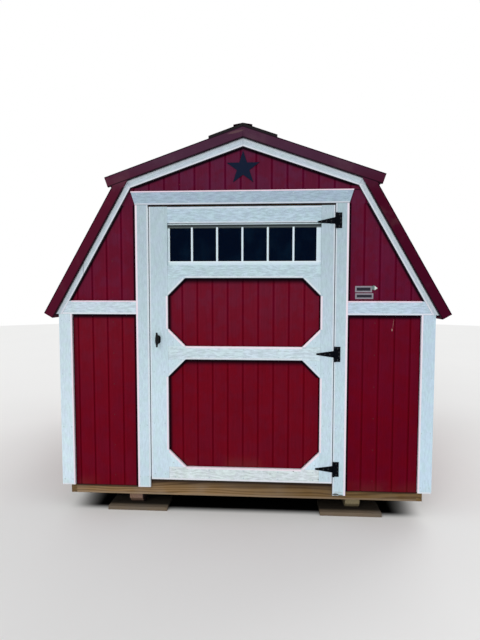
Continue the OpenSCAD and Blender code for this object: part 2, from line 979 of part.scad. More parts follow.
module door_jamb_boards() {
    color(white) {
        front_board(rect(open_x0 - jamb_w, open_x0, siding_z - left_jamb_drop, head_z));
        front_board(rect(open_x1, open_x1 + jamb_w, siding_z - right_jamb_drop, head_z));
    }
}

module door_head_board() {
    low0 = open_x0 - jamb_w;
    low1 = open_x1 + jamb_w;
    top = head_z + trim_w;
    color(white)
        front_board([[low0, head_z], [low1, head_z], [low1 + head_flare, top], [low0 - head_flare, top]]);
}

// A plain five-pointed star
module gable_star() {
    inner_r = star_r * sin(18) / sin(54);
    points = [
        for (i = [0 : 9])
            (i % 2 == 0 ? star_r : inner_r) * [sin(36 * i), cos(36 * i)]
    ];
    color(black)
        translate([0, 0, knuckle_z + star_up])
            prism(points, -face_y - star_t, -face_y);
}

// The fixed half of a hinge: plate, two knuckles and the pin, with Z at the hinge's middle
module hinge_plate() {
    slot = strap_w / 2 + knuckle_gap;
    low = -plate_h / 2;
    translate([hinge_x, -hinge_y, 0]) {
        difference() {
            union() {
                cylinder(r = barrel_r, h = plate_h, center = true);
                block([0, barrel_r + barrel_gap - plate_t, low], [plate_w, barrel_r + barrel_gap, -low]);
            }
            block(
                [-barrel_r - cut, -barrel_r - cut, -slot],
                [barrel_r + knuckle_gap, barrel_r + barrel_gap + cut, slot]
            );
        }
        cylinder(r = pin_r, h = plate_h, center = true);
    }
}

module hinge_plates() {
    color(black)
        for (z = hinge_z)
            translate([0, 0, z])
                hinge_plate();
}

// The moving half: a tapered strap with a round tip that may hang lower, and the middle knuckle
module hinge_strap(drop) {
    tip = strap_tip_w / 2;
    reach = strap_l - tip;
    face = barrel_r + barrel_gap;
    half = strap_w / 2;
    over_jamb = hinge_x - leaf_x1 - knuckle_gap;
    translate([hinge_x, -hinge_y, 0])
        difference() {
            union() {
                cylinder(r = barrel_r, h = strap_w, center = true);
                prism(
                    [[0, -half], [0, half], [-reach, tip - drop], [-reach, -tip - drop]],
                    face - plate_t,
                    face
                );
                translate([-reach, face, -drop])
                    rotate([90, 0, 0])
                        cylinder(r = tip, h = plate_t);
            }
            cylinder(r = pin_r + pin_gap, h = strap_w + 2 * cut, center = true);
            block([-over_jamb, barrel_r, -half - cut], [cut, face + cut, half + cut]);
        }
}

module hinge_straps() {
    color(black)
        for (i = [0 : len(hinge_z) - 1])
            translate([0, 0, hinge_z[i]])
                hinge_strap(i == len(hinge_z) - 1 ? top_strap_drop : 0);
}

// Hole for the handle's spindle, through the whole leaf
module spindle_hole() {
    translate([handle_x, 0, handle_z])
        rotate([90, 0, 0])
            cylinder(r = spindle_hole_r, h = trim_y + cut);
}

module door_skin() {
    color(red)
        difference() {
            front_sheet(
                rect(leaf_x0, leaf_x1, leaf_z0, leaf_z1),
                grooves(panel_x0, panel_x1, leaf_groove_x)
            );
            block(
                [pane_x0 - window_wall, -face_y - cut, pane_z0 - window_wall],
                [pane_x1 + window_wall, -frame_y + cut, pane_z1 + window_wall]
            );
            spindle_hole();
        }
}

module door_stiles() {
    color(white)
        difference() {
            union() {
                front_board(rect(leaf_x0, panel_x0, leaf_z0, leaf_z1));
                front_board(rect(panel_x1, leaf_x1, leaf_z0, leaf_z1));
            }
            spindle_hole();
        }
}

module door_rails() {
    color(white) {
        front_board(rect(panel_x0, panel_x1, leaf_z0, lower_panel_z));
        front_board(rect(panel_x0, panel_x1, mid_rail_z, upper_panel_z));
        front_board(rect(panel_x0, panel_x1, window_rail_z, window_z));
        front_board(rect(panel_x0, panel_x1, top_rail_z, leaf_z1));
    }
}

// Four triangular braces in the corners of a panel
module panel_braces(z0, z1) {
    for (corner = [[panel_x0, 1], [panel_x1, -1]])
        for (level = [[z0, 1], [z1, -1]])
            front_board([
                [corner[0], level[0]],
                [corner[0] + corner[1] * brace_leg, level[0]],
                [corner[0], level[0] + level[1] * brace_leg]
            ]);
}

module door_corner_braces() {
    color(white) {
        panel_braces(lower_panel_z, mid_rail_z);
        panel_braces(upper_panel_z, window_rail_z);
    }
}

module door_back_stiles() {
    color(timber)
        difference() {
            union() {
                block([leaf_x0, -frame_y, leaf_z0], [leaf_x0 + back_w, -back_y, leaf_z1]);
                block([leaf_x1 - back_w, -frame_y, leaf_z0], [leaf_x1, -back_y, leaf_z1]);
            }
            spindle_hole();
        }
}

module door_back_rails() {
    rails = [
        [leaf_z0, lower_panel_z],
        [mid_rail_z, upper_panel_z],
        [window_rail_z, window_z],
        [top_rail_z + window_wall, leaf_z1]
    ];
    color(timber)
        for (rail = rails)
            block([leaf_x0 + back_w, -frame_y, rail[0]], [leaf_x1 - back_w, -back_y, rail[1]]);
}

// A flange on the leaf's face, and a sleeve that passes through the skin round the panes
module window_frame() {
    color(white)
        difference() {
            union() {
                prism(rect(panel_x0, panel_x1, window_z, top_rail_z), -face_y - window_proud, -face_y);
                block(
                    [pane_x0 - window_wall, -face_y - window_proud, pane_z0 - window_wall],
                    [pane_x1 + window_wall, -frame_y, pane_z1 + window_wall]
                );
            }
            prism(rect(pane_x0, pane_x1, pane_z0, pane_z1), -trim_y, -frame_y + cut);
        }
}

module window_glass() {
    color([0.08, 0.10, 0.12])
        prism(rect(pane_x0, pane_x1, pane_z0, pane_z1), -face_y, -face_y + pane_t);
}

// The oval plate round the spindle, on the latch stile
module handle_base() {
    half = base_w / 2;
    spread = base_l / 2 - half;
    color(black)
        translate([handle_x, -trim_y, handle_z])
            rotate([90, 0, 0])
                difference() {
                    union() {
                        for (side = [-1, 1])
                            translate([0, side * spread, 0])
                                cylinder(r = half, h = base_t);
                        translate([-half, -spread, 0])
                            cube([base_w, 2 * spread, base_t]);
                        cylinder(r = spindle_r + base_t, h = 2 * base_t);
                    }
                    translate([0, 0, -cut])
                        cylinder(r = spindle_r + pin_gap, h = 2 * base_t + 2 * cut);
                }
}

// The T handle: a waisted bar on a spindle that carries a turn bar behind the leaf
module t_handle() {
    half = handle_l / 2;
    tip = handle_end_r;
    bar_y = -trim_y - handle_stand;
    turn_y = -back_y;
    profile = [
        [0, -half],
        [tip * 0.7, -half],
        [tip, -half + tip * 0.5],
        [tip, -half + tip * 1.5],
        [handle_r * 0.9, -handle_r * 1.8],
        [handle_r, -handle_r * 0.8],
        [handle_r, handle_r * 0.8],
        [handle_r * 0.9, handle_r * 1.8],
        [tip, half - tip * 1.5],
        [tip, half - tip * 0.5],
        [tip * 0.7, half],
        [0, half]
    ];
    color(black) {
        translate([handle_x, bar_y, handle_z])
            rotate_extrude()
                polygon(profile);
        translate([handle_x, turn_y + turn_bar_t + cut, handle_z])
            rotate([90, 0, 0])
                cylinder(r = spindle_r, h = turn_y + turn_bar_t + cut - bar_y);
        block(
            [handle_x - turn_bar_w / 2, turn_y + joint_gap / 2, handle_z - turn_bar_l / 2],
            [handle_x + turn_bar_w / 2, turn_y + joint_gap / 2 + turn_bar_t, handle_z + turn_bar_l / 2]
        );
    }
}

ground_pads();
skids();
side_rims();
floor_joists();
floor_deck();
side_plates();
end_plates();
side_studs();
end_studs();
door_header();
lower_rafters();
upper_rafters();
roof_gussets();
front_wall_siding();
front_shoulder_siding();
front_gable_siding();
back_wall_siding();
back_gable_siding();
side_siding();
roof_deck();
roofing();
ridge_cap();
ridge_closures();
roof_fascias();
soffits();
rake_boards();
rake_trims();
gable_boards();
band_boards();
end_corner_boards();
side_corner_boards();
door_jamb_boards();
door_head_board();
hinge_plates();
gable_star();
door_skin();
door_stiles();
door_rails();
door_corner_braces();
door_back_stiles();
door_back_rails();
window_frame();
window_glass();
hinge_straps();
handle_base();
t_handle();
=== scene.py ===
"""Paints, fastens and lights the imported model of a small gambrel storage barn."""

import logging
import math
from dataclasses import asdict, dataclass, field, replace
from enum import Enum
from functools import cache
from typing import Iterable, Sequence, Union

import bmesh
import bpy
from mathutils import Matrix, Vector


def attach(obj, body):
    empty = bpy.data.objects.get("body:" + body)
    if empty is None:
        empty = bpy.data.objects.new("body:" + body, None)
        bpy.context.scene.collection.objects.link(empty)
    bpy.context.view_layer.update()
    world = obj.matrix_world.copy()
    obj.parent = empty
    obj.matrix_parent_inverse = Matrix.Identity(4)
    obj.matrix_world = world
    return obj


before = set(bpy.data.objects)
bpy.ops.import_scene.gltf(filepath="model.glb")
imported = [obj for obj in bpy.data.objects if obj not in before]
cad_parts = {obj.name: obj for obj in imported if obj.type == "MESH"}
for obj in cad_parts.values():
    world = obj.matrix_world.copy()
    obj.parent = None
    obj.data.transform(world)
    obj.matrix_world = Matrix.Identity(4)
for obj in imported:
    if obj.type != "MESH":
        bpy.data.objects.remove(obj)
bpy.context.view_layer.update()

LOG = logging.getLogger("barn")

Pair = tuple[float, float]
Colour = tuple[float, float, float]
Point = tuple[float, float, float]
Spot = tuple[Point, Point]
Row = tuple[float, float, int]
Number = Union["Wire", float]

FRONT: Point = (0.0, -1.0, 0.0)
BACK: Point = (0.0, 1.0, 0.0)
SIDES = (-1, 1)

# SHADOW is painted shadow; GLINT and the pinker rose colour are painted highlights along board edges; JOINT is the grey
# of real joints.
SHADOW: Colour = (0.004, 0.001, 0.004)
JOINT: Colour = (0.10, 0.12, 0.13)
GLINT: Colour = (0.80, 0.80, 0.86)
ROSE_GLINT: Colour = (0.92, 0.78, 0.87)
TRIM_WHITE: Colour = (0.53, 0.67, 0.75)
ROOF_RED: Colour = (0.075, 0.009, 0.022)


class Body(Enum):
    """The bodies that pieces ride on."""

    ROOT = "root"
    DOOR = "door"


class Grain(Enum):
    """Which way the grain of a board runs."""

    UPRIGHT = "along Z"
    LEVEL = "along X"
    DEEP = "along Y"
    SLOPES = "down the two roof slopes"


class Wall(Enum):
    """Which way the face of a sheet of siding looks, by the axis that runs across it."""

    END = "x"
    SIDE = "y"


class Wire:
    """An output socket of a node; the arithmetic operators add Math nodes behind it."""

    def __init__(self, sheet: "NodeSheet", socket: bpy.types.NodeSocket) -> None:
        """Keeps the socket and the sheet of nodes that it is on."""
        self.sheet, self.socket = sheet, socket

    def math(self, operation: str, *values: Number) -> "Wire":
        """The result of a Math node, from its operation and its inputs in order."""
        return self.sheet.node("ShaderNodeMath", {"operation": operation}, dict(enumerate(values)))

    def __add__(self, other: Number) -> "Wire":
        """The sum."""
        return self.math("ADD", self, other)

    def __sub__(self, other: Number) -> "Wire":
        """The difference."""
        return self.math("SUBTRACT", self, other)

    def __mul__(self, other: Number) -> "Wire":
        """The product."""
        return self.math("MULTIPLY", self, other)

    def __abs__(self) -> "Wire":
        """The size without its sign."""
        return self.math("ABSOLUTE", self)

    def highest(self, other: Number) -> "Wire":
        """The larger of two values."""
        return self.math("MAXIMUM", self, other)

    def below(self, limit: Number) -> "Wire":
        """1 where the value is under the limit, else 0."""
        return self.math("LESS_THAN", self, limit)

    def above(self, limit: Number) -> "Wire":
        """1 where the value is over the limit, else 0."""
        return self.math("GREATER_THAN", self, limit)

    def ramp(self, low: float, high: float, start: float = 0.0, end: float = 1.0) -> "Wire":
        """Eases from start to end while the value goes from low to high."""
        values = {"Value": self, "From Min": low, "From Max": high, "To Min": start, "To Max": end}
        return self.sheet.node("ShaderNodeMapRange", {"interpolation_type": "SMOOTHSTEP"}, values)


class NodeSheet:
    """A node tree and the one method that adds nodes to it."""

    def __init__(self, tree: bpy.types.NodeTree) -> None:
        """Keeps the tree and empties it."""
        self.tree = tree
        tree.nodes.clear()

    def node(
        self, kind: str, settings: dict[str, object] | None = None, values: dict[int | str, object] | None = None,
        output: int | str = 0,
    ) -> Wire | None:
        """Adds a node, with its settings first and then the values or links of its sockets.

        Args:
            kind: The node's type.
            settings: Its properties by name.
            values: Its inputs by name or place: a Wire is linked, anything else is set.
            output: Which output is wanted.

        Returns:
            That output, or None for a node that has none.
        """
        made = self.tree.nodes.new(kind)
        for key, value in (settings or {}).items():
            setattr(made, key, value)
        for key, value in (values or {}).items():
            socket = made.inputs[key]
            if isinstance(value, Wire):
                self.tree.links.new(value.socket, socket)
            else:
                socket.default_value = (*value, 1.0) if socket.type == "RGBA" else value
        return Wire(self, made.outputs[output]) if len(made.outputs) else None

    def vector(self, x: Number, y: Number, z: Number) -> Wire:
        """Three values as one vector."""
        return self.node("ShaderNodeCombineXYZ", None, {0: x, 1: y, 2: z})


@dataclass(frozen=True)
class Seam:
    """A thin line across an end wall, where across * x + up * z is reach.

    With mirrored set, x counts from the middle to both sides. A span keeps a level line between two
    places along X, and any other line between two heights. The core is the share of the half width
    that has the full strength, before the line fades out.
    """

    across: float
    up: float
    reach: float
    half: float
    colour: Colour = SHADOW
    strength: float = 0.86
    mirrored: bool = False
    span: Pair | None = None
    core: float = 0.45


def upright(x: float, half: float, *look: object, **more: object) -> Seam:
    """A line straight up at x, or at both x and -x, with the other fields of a Seam."""
    return Seam(1.0, 0.0, x, half, *look, **more)


def level(z: float, half: float, *look: object, **more: object) -> Seam:
    """A level line at z, with the other fields of a Seam."""
    return Seam(0.0, 1.0, z, half, *look, **more)


@dataclass(frozen=True)
class ToneOrShade:
    """Another colour past a place along X, or over a height if upward is set: mostly painted shade, once a second tone
    of paint.
    """

    colour: Colour
    past: float = 0.0
    upward: bool = False


@dataclass(frozen=True)
class Mark:
    """A small stained, scraped or paler patch on the front, an ellipse with a ragged edge."""

    x: float
    z: float
    half_x: float
    half_z: float
    colour: Colour
    strength: float
    lean: float = 0.0


@dataclass(frozen=True)
class EndWall:
    """Places on the end walls that several sub-assemblies share, in metres from the middle and the ground."""

    siding_y: float = 1.535
    board_y: float = 1.554
    foot_z: float = 0.167
    jambs_out: Pair = (-0.717, 0.687)
    corner_in: float = 1.160
    band_z: Pair = (1.3538, 1.4428)
    head_z: Pair = (2.076, 2.165)


@dataclass(frozen=True)
class RoofLine:
    """The outer line of the gambrel roof over an end wall: pairs hold the lower slope's value, then the upper's."""

    start: tuple[Pair, Pair] = ((0.807, 2.291), (0.0, 2.5689))
    pitch: Pair = (math.radians(60.048), math.radians(19.0))
    board: Pair = (0.1041, 0.1161)
    board_knuckle_z: float = 2.1894
    eave_half_z: float = 0.04

    def point(self, upper: bool, along: float, depth: float) -> Pair:
        """A place on the right-hand side of the roof.

        Args:
            upper: Whether it is on the upper slope.
            along: How far down its slope, from the ridge or the knuckle.
            depth: How deep under the roof line, square to it.

        Returns:
            Its x and z.
        """
        (x, z), pitch = self.start[upper], self.pitch[upper]
        return (
            x + along * math.cos(pitch) - depth * math.sin(pitch),
            z - along * math.sin(pitch) - depth * math.cos(pitch),
        )

    def outward(self, upper: bool) -> Pair:
        """The x and z of the direction straight out of a slope."""
        return math.sin(self.pitch[upper]), math.cos(self.pitch[upper])

    def spot(self, side: int, upper: bool, along: float, depth: float, y: float, facing: Point | None = None) -> Spot:
        """A point on one side of the roof, and the direction it faces: straight out of the slope, if none is given."""
        (x, z), (out_x, out_z) = self.point(upper, along, depth), self.outward(upper)
        return (side * x, y, z), facing or (side * out_x, 0.0, out_z)

    def seam(self, upper: bool, inside: float, half: float, *look: object, **more: object) -> Seam:
        """A line on both sides along the gable boards of a slope.

        Args:
            upper: Whether it is on the upper slope.
            inside: How far it lies past their inner edge, towards the middle of the gable.
            half: Half its width.
            look: Its colour and strength, if they aren't a Seam's own.
            more: Further fields of a Seam, by name.

        Returns:
            The line.
        """
        across, up = self.outward(upper)
        x, z = self.point(upper, 0.0, self.board[upper] + inside)
        span = (self.board_knuckle_z, self.start[True][1]) if upper else (0.0, self.board_knuckle_z)
        return Seam(across, up, across * x + up * z, half, *look, mirrored=True, span=span, **more)

    def eave(self, upper: bool, along: float, half: float, colour: Colour) -> Seam:
        """A full line on both sides, square across a slope at its eave.

        Args:
            upper: Whether it is on the upper slope.
            along: How far down the slope it lies.
            half: Half its width.
            colour: Its colour.

        Returns:
            The line.
        """
        (up, across), (x, z) = self.outward(upper), self.point(upper, along, 0.0)
        span = (z - self.eave_half_z, z + self.eave_half_z)
        return Seam(across, -up, across * x - up * z, half, colour, 1.0, True, span, 0.8)


WALL = EndWall()
ROOF = RoofLine()


class Coat(NodeSheet):
    """The node tree of one material, read from Object coordinates."""

    def __init__(self, name: str) -> None:
        """Makes the material and splits its coordinates.

        Args:
            name: The material's name.
        """
        self.material = bpy.data.materials.new(name)
        self.material.use_nodes = True
        super().__init__(self.material.node_tree)
        self.place = self.node("ShaderNodeTexCoord", None, None, "Object")
        self.x, self.y, self.z = (self.node("ShaderNodeSeparateXYZ", None, {0: self.place}, axis) for axis in "XYZ")

    def noise(self, place: Wire, scale: float, detail: float = 2.0, roughness: float = 0.5) -> Wire:
        """Smooth noise of 0 to 1, with so many bumps to a unit and finer layers of a strength."""
        values = {"Vector": place, "Scale": scale, "Detail": detail, "Roughness": roughness}
        return self.node("ShaderNodeTexNoise", None, values)

    def cells(self, place: Wire, scale: float, output: str = "Distance") -> Wire:
        """Irregular cells: how far a place is from the nearest one's middle, or that cell's Color."""
        return self.node("ShaderNodeTexVoronoi", None, {"Vector": place, "Scale": scale}, output)

    def mix(self, factor: Number, first: Wire | Colour, second: Wire | Colour) -> Wire:
        """A colour between two: the first where the factor is 0, the second where it is 1."""
        return self.node("ShaderNodeMix", {"data_type": "RGBA"}, {0: factor, 6: first, 7: second}, 2)

    def shade(self, colour: Wire | Colour, amount: Wire) -> Wire:
        """A colour times a value."""
        return self.node("ShaderNodeVectorMath", {"operation": "SCALE"}, {0: colour, "Scale": amount})

    def tinged(self, colour: Wire | Colour, share: Wire | Colour) -> Wire:
        """A colour times another, part by part."""
        return self.node("ShaderNodeVectorMath", {"operation": "MULTIPLY"}, {0: colour, 1: share})

    def mottled(self, colour: Wire, first: Colour, second: Colour, scale: float) -> Wire:
        """A colour that is multiplied by one of two others, in patches with so many to a metre."""
        return self.tinged(colour, self.mix(self.noise(self.place, scale).ramp(0.38, 0.62), first, second))

    def bump(self, height: Wire, distance: float) -> Wire:
        """A normal that rises with a height of 0 to 1, by a distance in metres."""
        return self.node("ShaderNodeBump", None, {"Strength": 1.0, "Distance": distance, "Height": height})

    def run(self, grain: Grain) -> tuple[Wire, Wire, Wire]:
        """The coordinates that follow a board's grain.

        Args:
            grain: Which way it runs.

        Returns:
            The place along the grain, across it, and square to both.
        """
        if grain is Grain.UPRIGHT:
            return self.z, self.x, self.y
        if grain is Grain.LEVEL:
            return self.x, self.z, self.y
        if grain is Grain.DEEP:
            return self.y, self.x, self.z
        side = abs(self.x)
        knuckle_x, knuckle_z = ROOF.start[False]
        past_x = (side - knuckle_x) * sum(map(math.cos, ROOF.pitch))
        upper = (past_x + (self.z - knuckle_z) * -sum(map(math.sin, ROOF.pitch))).below(0.0)
        slopes = [
            (side * math.cos(pitch) - self.z * math.sin(pitch), side * math.sin(pitch) + self.z * math.cos(pitch))
            for pitch in ROOF.pitch
        ]
        along, across = (low + (high - low) * upper for low, high in zip(*slopes))
        return along, across, self.y + self.x.below(0.0) * 3.7

    def tinted(self, colour: Wire | Colour, tints: Iterable[ToneOrShade]) -> Wire | Colour:
        """Lays other colours over a colour: mostly painted shade, once a second tone of paint.

        Args:
            colour: The colour so far.
            tints: The other shades, in order.

        Returns:
            The colour with them.
        """
        for zone in tints:
            colour = self.mix((self.z if zone.upward else self.x).above(zone.past), colour, zone.colour)
        return colour

    def detailed(self, colour: Wire, seams: Iterable[Seam], marks: Sequence[Mark] = ()) -> Wire:
        """Draws thin lines over a colour, and patches on its front.

        Args:
            colour: The colour so far.
            seams: The lines, in order.
            marks: The patches, in order.

        Returns:
            The colour with them.
        """
        for seam in seams:
            across = abs(self.x) if seam.mirrored else self.x
            off = abs(across * seam.across + self.z * seam.up - seam.reach)
            line = off.ramp(seam.half * seam.core, seam.half, seam.strength, 0.0)
            if seam.span:
                run = self.z if seam.across else self.x
                line = line * run.above(seam.span[0]) * run.below(seam.span[1])
            colour = self.mix(line, colour, seam.colour)
        ragged = (self.noise(self.place, 260.0) - 0.5) * 1.1 if marks else 0.0
        for mark in marks:
            up = self.z - mark.z
            side = self.x - mark.x - up * mark.lean
            oval = self.vector(side * (1.0 / mark.half_x), up * (1.0 / mark.half_z), 0.0)
            off = self.node("ShaderNodeVectorMath", {"operation": "LENGTH"}, {0: oval}, "Value")
            near = (off + ragged).ramp(0.75, 1.15, mark.strength, 0.0) * self.y.below(0.0)
            colour = self.mix(near, colour, mark.colour)
        return colour

    def finish(
        self, colour: Wire, roughness: Number, normal: Wire | None, gloss: float, metallic: Number = 0.0,
        alpha: float = 1.0,
    ) -> bpy.types.Material:
        """Closes the material with its shader.

        Args:
            colour: The base colour.
            roughness: The roughness.
            normal: The normal, if it has one.
            gloss: How strongly it reflects, the same all over.
            metallic: How metallic it is.
            alpha: How opaque it is, the same all over.

        Returns:
            The material.
        """
        values = {
            "Base Color": colour, "Roughness": roughness, "Metallic": metallic, "Specular IOR Level": gloss,
            "Alpha": alpha,
        }
        if normal is not None:
            values["Normal"] = normal
        shader = self.node("ShaderNodeBsdfPrincipled", None, values, "BSDF")
        self.node("ShaderNodeOutputMaterial", None, {"Surface": shader})
        return self.material


@dataclass(frozen=True)
class Finish:
    """What all finishes share: a name, and one material that is made when it is first needed."""

    name: str

    @cache
    def build(self) -> bpy.types.Material:
        """The material."""
        return self.coated(Coat(self.name))

    def coated(self, coat: Coat) -> bpy.types.Material:
        """Lays the finish on an empty sheet of nodes.

        Args:
            coat: The empty sheet of nodes that it is laid on.

        Returns:
            The material.
        """
        raise NotImplementedError


@dataclass(frozen=True)
class TrimPaint(Finish):
    """Satin paint on an embossed trim board, whose wavy grain shows through it."""

    grain: Grain
    colour: Colour = TRIM_WHITE
    relief: float = 0.0011
    contrast: float = 0.12
    soil_z: float = 0.0
    gloss: float = 0.10
    # Painted light and shade: the tone by height, brighter lower down, and darker colours on one side or higher up.
    fade: tuple[float, float, float, float] | None = None
    tints: tuple[ToneOrShade, ...] = ()
    seams: tuple[Seam, ...] = ()
    marks: tuple[Mark, ...] = ()

    def coated(self, coat: Coat) -> bpy.types.Material:
        """The material of the boards.

        Args:
            coat: The empty sheet of nodes that it is laid on.

        Returns:
            The material.
        """
        along, across, side = coat.run(self.grain)
        sway = coat.noise(coat.vector(across * 7.0, side * 7.0, along * 3.5), 1.0) - 0.5
        dashes = coat.noise(coat.vector(across + sway * 0.05, side, along * 0.20), 105.0, 2.0, 0.6)
        threads = coat.noise(coat.vector(across + sway * 0.05, side, along * 0.04), 330.0, 1.0)
        patches = coat.noise(coat.place, 5.5, 3.0, 0.55)
        ridges = dashes.ramp(0.30, 0.70)
        lines = dashes.math("PINGPONG", dashes * 9.0, 0.5).ramp(0.0, 0.20, 1.0, 0.0)
        tone = (ridges - 0.35 - lines * 0.6) * self.contrast + (threads - 0.5) * 0.07 + (patches - 0.5) * 0.06 + 1.0
        # Painted light and shade: brighter or darker with height, then darker on one side or higher up.
        if self.fade:
            tone = tone * coat.z.ramp(*self.fade)
        colour = coat.shade(coat.tinted(self.colour, self.tints), tone)
        colour = coat.mottled(colour, (1.010, 0.992, 1.016), (0.990, 1.008, 0.984), 16.0)
        if self.soil_z:
            splash = coat.z.ramp(self.soil_z, self.soil_z + 0.12, 1.0, 0.0) * patches.ramp(0.42, 0.66, 0.0, 0.22)
            colour = coat.mix(splash, colour, (0.34, 0.29, 0.22))
        colour = coat.detailed(colour, self.seams, self.marks)
        normal = coat.bump(ridges * 0.6 + threads * 0.4, self.relief)
        return coat.finish(colour, dashes * 0.16 + 0.50, normal, self.gloss)


@dataclass(frozen=True)
class SidingPaint(Finish):
    """Paint on a sheet of upright grooved siding with a fine upright grain, bare wood on its inner face."""

    colour: Colour
    # Painted light: the colour higher up is purpler as painted sky reflection, and the right-hand colours are darker as
    # painted shade.
    high_colour: Colour
    fade: Pair
    groove: float
    groove_right: float | None = None
    right: tuple[Colour, Colour] | None = None
    wall: Wall = Wall.END
    pitch: float = 0.1016
    groove_w: float = 0.010
    soil_z: float = WALL.foot_z
    painted_from: float = 1.5275
    bare: tuple[Colour, Colour] = ((0.25, 0.145, 0.065), (0.44, 0.29, 0.15))
    seams: tuple[Seam, ...] = ()
    marks: tuple[Mark, ...] = ()

    def coated(self, coat: Coat) -> bpy.types.Material:
        """The material of the sheets.

        Args:
            coat: The empty sheet of nodes that it is laid on.

        Returns:
            The material.
        """
        across, side = (coat.x, coat.y) if self.wall is Wall.END else (coat.y, coat.x)
        sway = coat.noise(coat.vector(across * 4.0, side * 4.0, coat.z * 1.3), 1.0, 1.0) - 0.5
        grain = coat.noise(coat.vector(across + sway * 0.03, side, coat.z * 0.05), 110.0, 3.0, 0.6)
        threads = coat.noise(coat.vector(across, side, coat.z * 0.02), 520.0, 1.0)
        patches = coat.noise(coat.place, 4.2, 3.0, 0.55)
        right_side = coat.x.above(0.0)
        # Painted sky reflection: purpler higher up; painted shade: darker on the right-hand side.
        height = coat.z.ramp(*self.fade)
        colour = coat.mix(height, self.colour, self.high_colour)
        if self.right:
            colour = coat.mix(right_side, colour, coat.mix(height, *self.right))
        origin = self.groove
        if self.groove_right is not None:
            origin = right_side * (self.groove_right - self.groove) + self.groove
        off = abs(across.math("WRAP", across - origin, self.pitch / 2, -self.pitch / 2) + 0.001)
        # A painted highlight beside each groove.
        light_and_shade_lines = abs(off - 0.0130).ramp(0.0015, 0.0060, 0.07, 0.0)
        tone = (grain - 0.5) * 0.34 + (threads - 0.5) * 0.20 + (patches - 0.5) * 0.26 + 1.0 + light_and_shade_lines
        colour = coat.mottled(coat.shade(colour, tone), (1.03, 0.82, 0.86), (0.97, 1.18, 1.14), 14.0)
        # Painted shade in the bottom of each groove.
        outside_groove_shade = off.ramp(self.groove_w * 0.45, self.groove_w)
        colour = coat.tinged(colour, coat.mix(outside_groove_shade, (0.98, 0.20, 0.64), (1.0, 1.0, 1.0)))
        splash = coat.z.ramp(self.soil_z, self.soil_z + 0.10, 1.0, 0.0) * patches.ramp(0.40, 0.64, 0.0, 0.10)
        colour = coat.detailed(coat.mix(splash, colour, (0.16, 0.09, 0.06)), self.seams, self.marks)
        bare = coat.mix((grain * 0.5 + patches * 0.5).ramp(0.36, 0.64), *self.bare)
        colour = coat.mix(abs(side).above(self.painted_from), bare, colour)
        return coat.finish(colour, grain * 0.14 + 0.56, coat.bump(grain * 0.6 + threads * 0.4, 0.0008), 0.02)


@dataclass(frozen=True)
class SheetMetalPaint(Finish):
    """Coil-coated steel: nearly smooth, a little wavy, dusty in patches."""

    colour: Colour = (0.074, 0.006, 0.019)
    # Purpler higher up, and darker on the right-hand side as painted shade.
    dull_colour: Colour = (0.066, 0.018, 0.040)
    dull_z: Pair = (1.6, 2.5)
    right_colour: Colour | None = None
    laps: tuple[float, ...] = ()
    wave: float = 0.0016
    gloss: float = 0.16
    seams: tuple[Seam, ...] = ()
    marks: tuple[Mark, ...] = ()

    def coated(self, coat: Coat) -> bpy.types.Material:
        """The material of the sheets.

        Args:
            coat: The empty sheet of nodes that it is laid on.

        Returns:
            The material.
        """
        patches = coat.noise(coat.place, 6.0, 4.0, 0.6)
        specks = coat.noise(coat.place, 420.0)
        buckles = coat.noise(coat.place, 2.6, 1.0)
        # Painted shade on the right-hand side, and a purpler colour higher up.
        low = coat.mix(coat.x.above(0.0), self.colour, self.right_colour or self.colour)
        colour = coat.mix(coat.z.ramp(*self.dull_z), low, self.dull_colour)
        colour = coat.shade(colour, (patches - 0.5) * 0.34 + (specks - 0.5) * 0.10 + 1.0)
        colour = coat.mix(patches.ramp(0.52, 0.74, 0.0, 0.06), colour, (0.26, 0.21, 0.19))
        for lap in self.laps:
            colour = coat.mix(abs(coat.y - lap).ramp(0.0007, 0.0018, 0.8, 0.0), colour, (0.012, 0.003, 0.006))
        colour = coat.detailed(colour, self.seams, self.marks)
        return coat.finish(colour, patches * 0.16 + 0.36, coat.bump(buckles + specks * 0.02, self.wave), self.gloss)


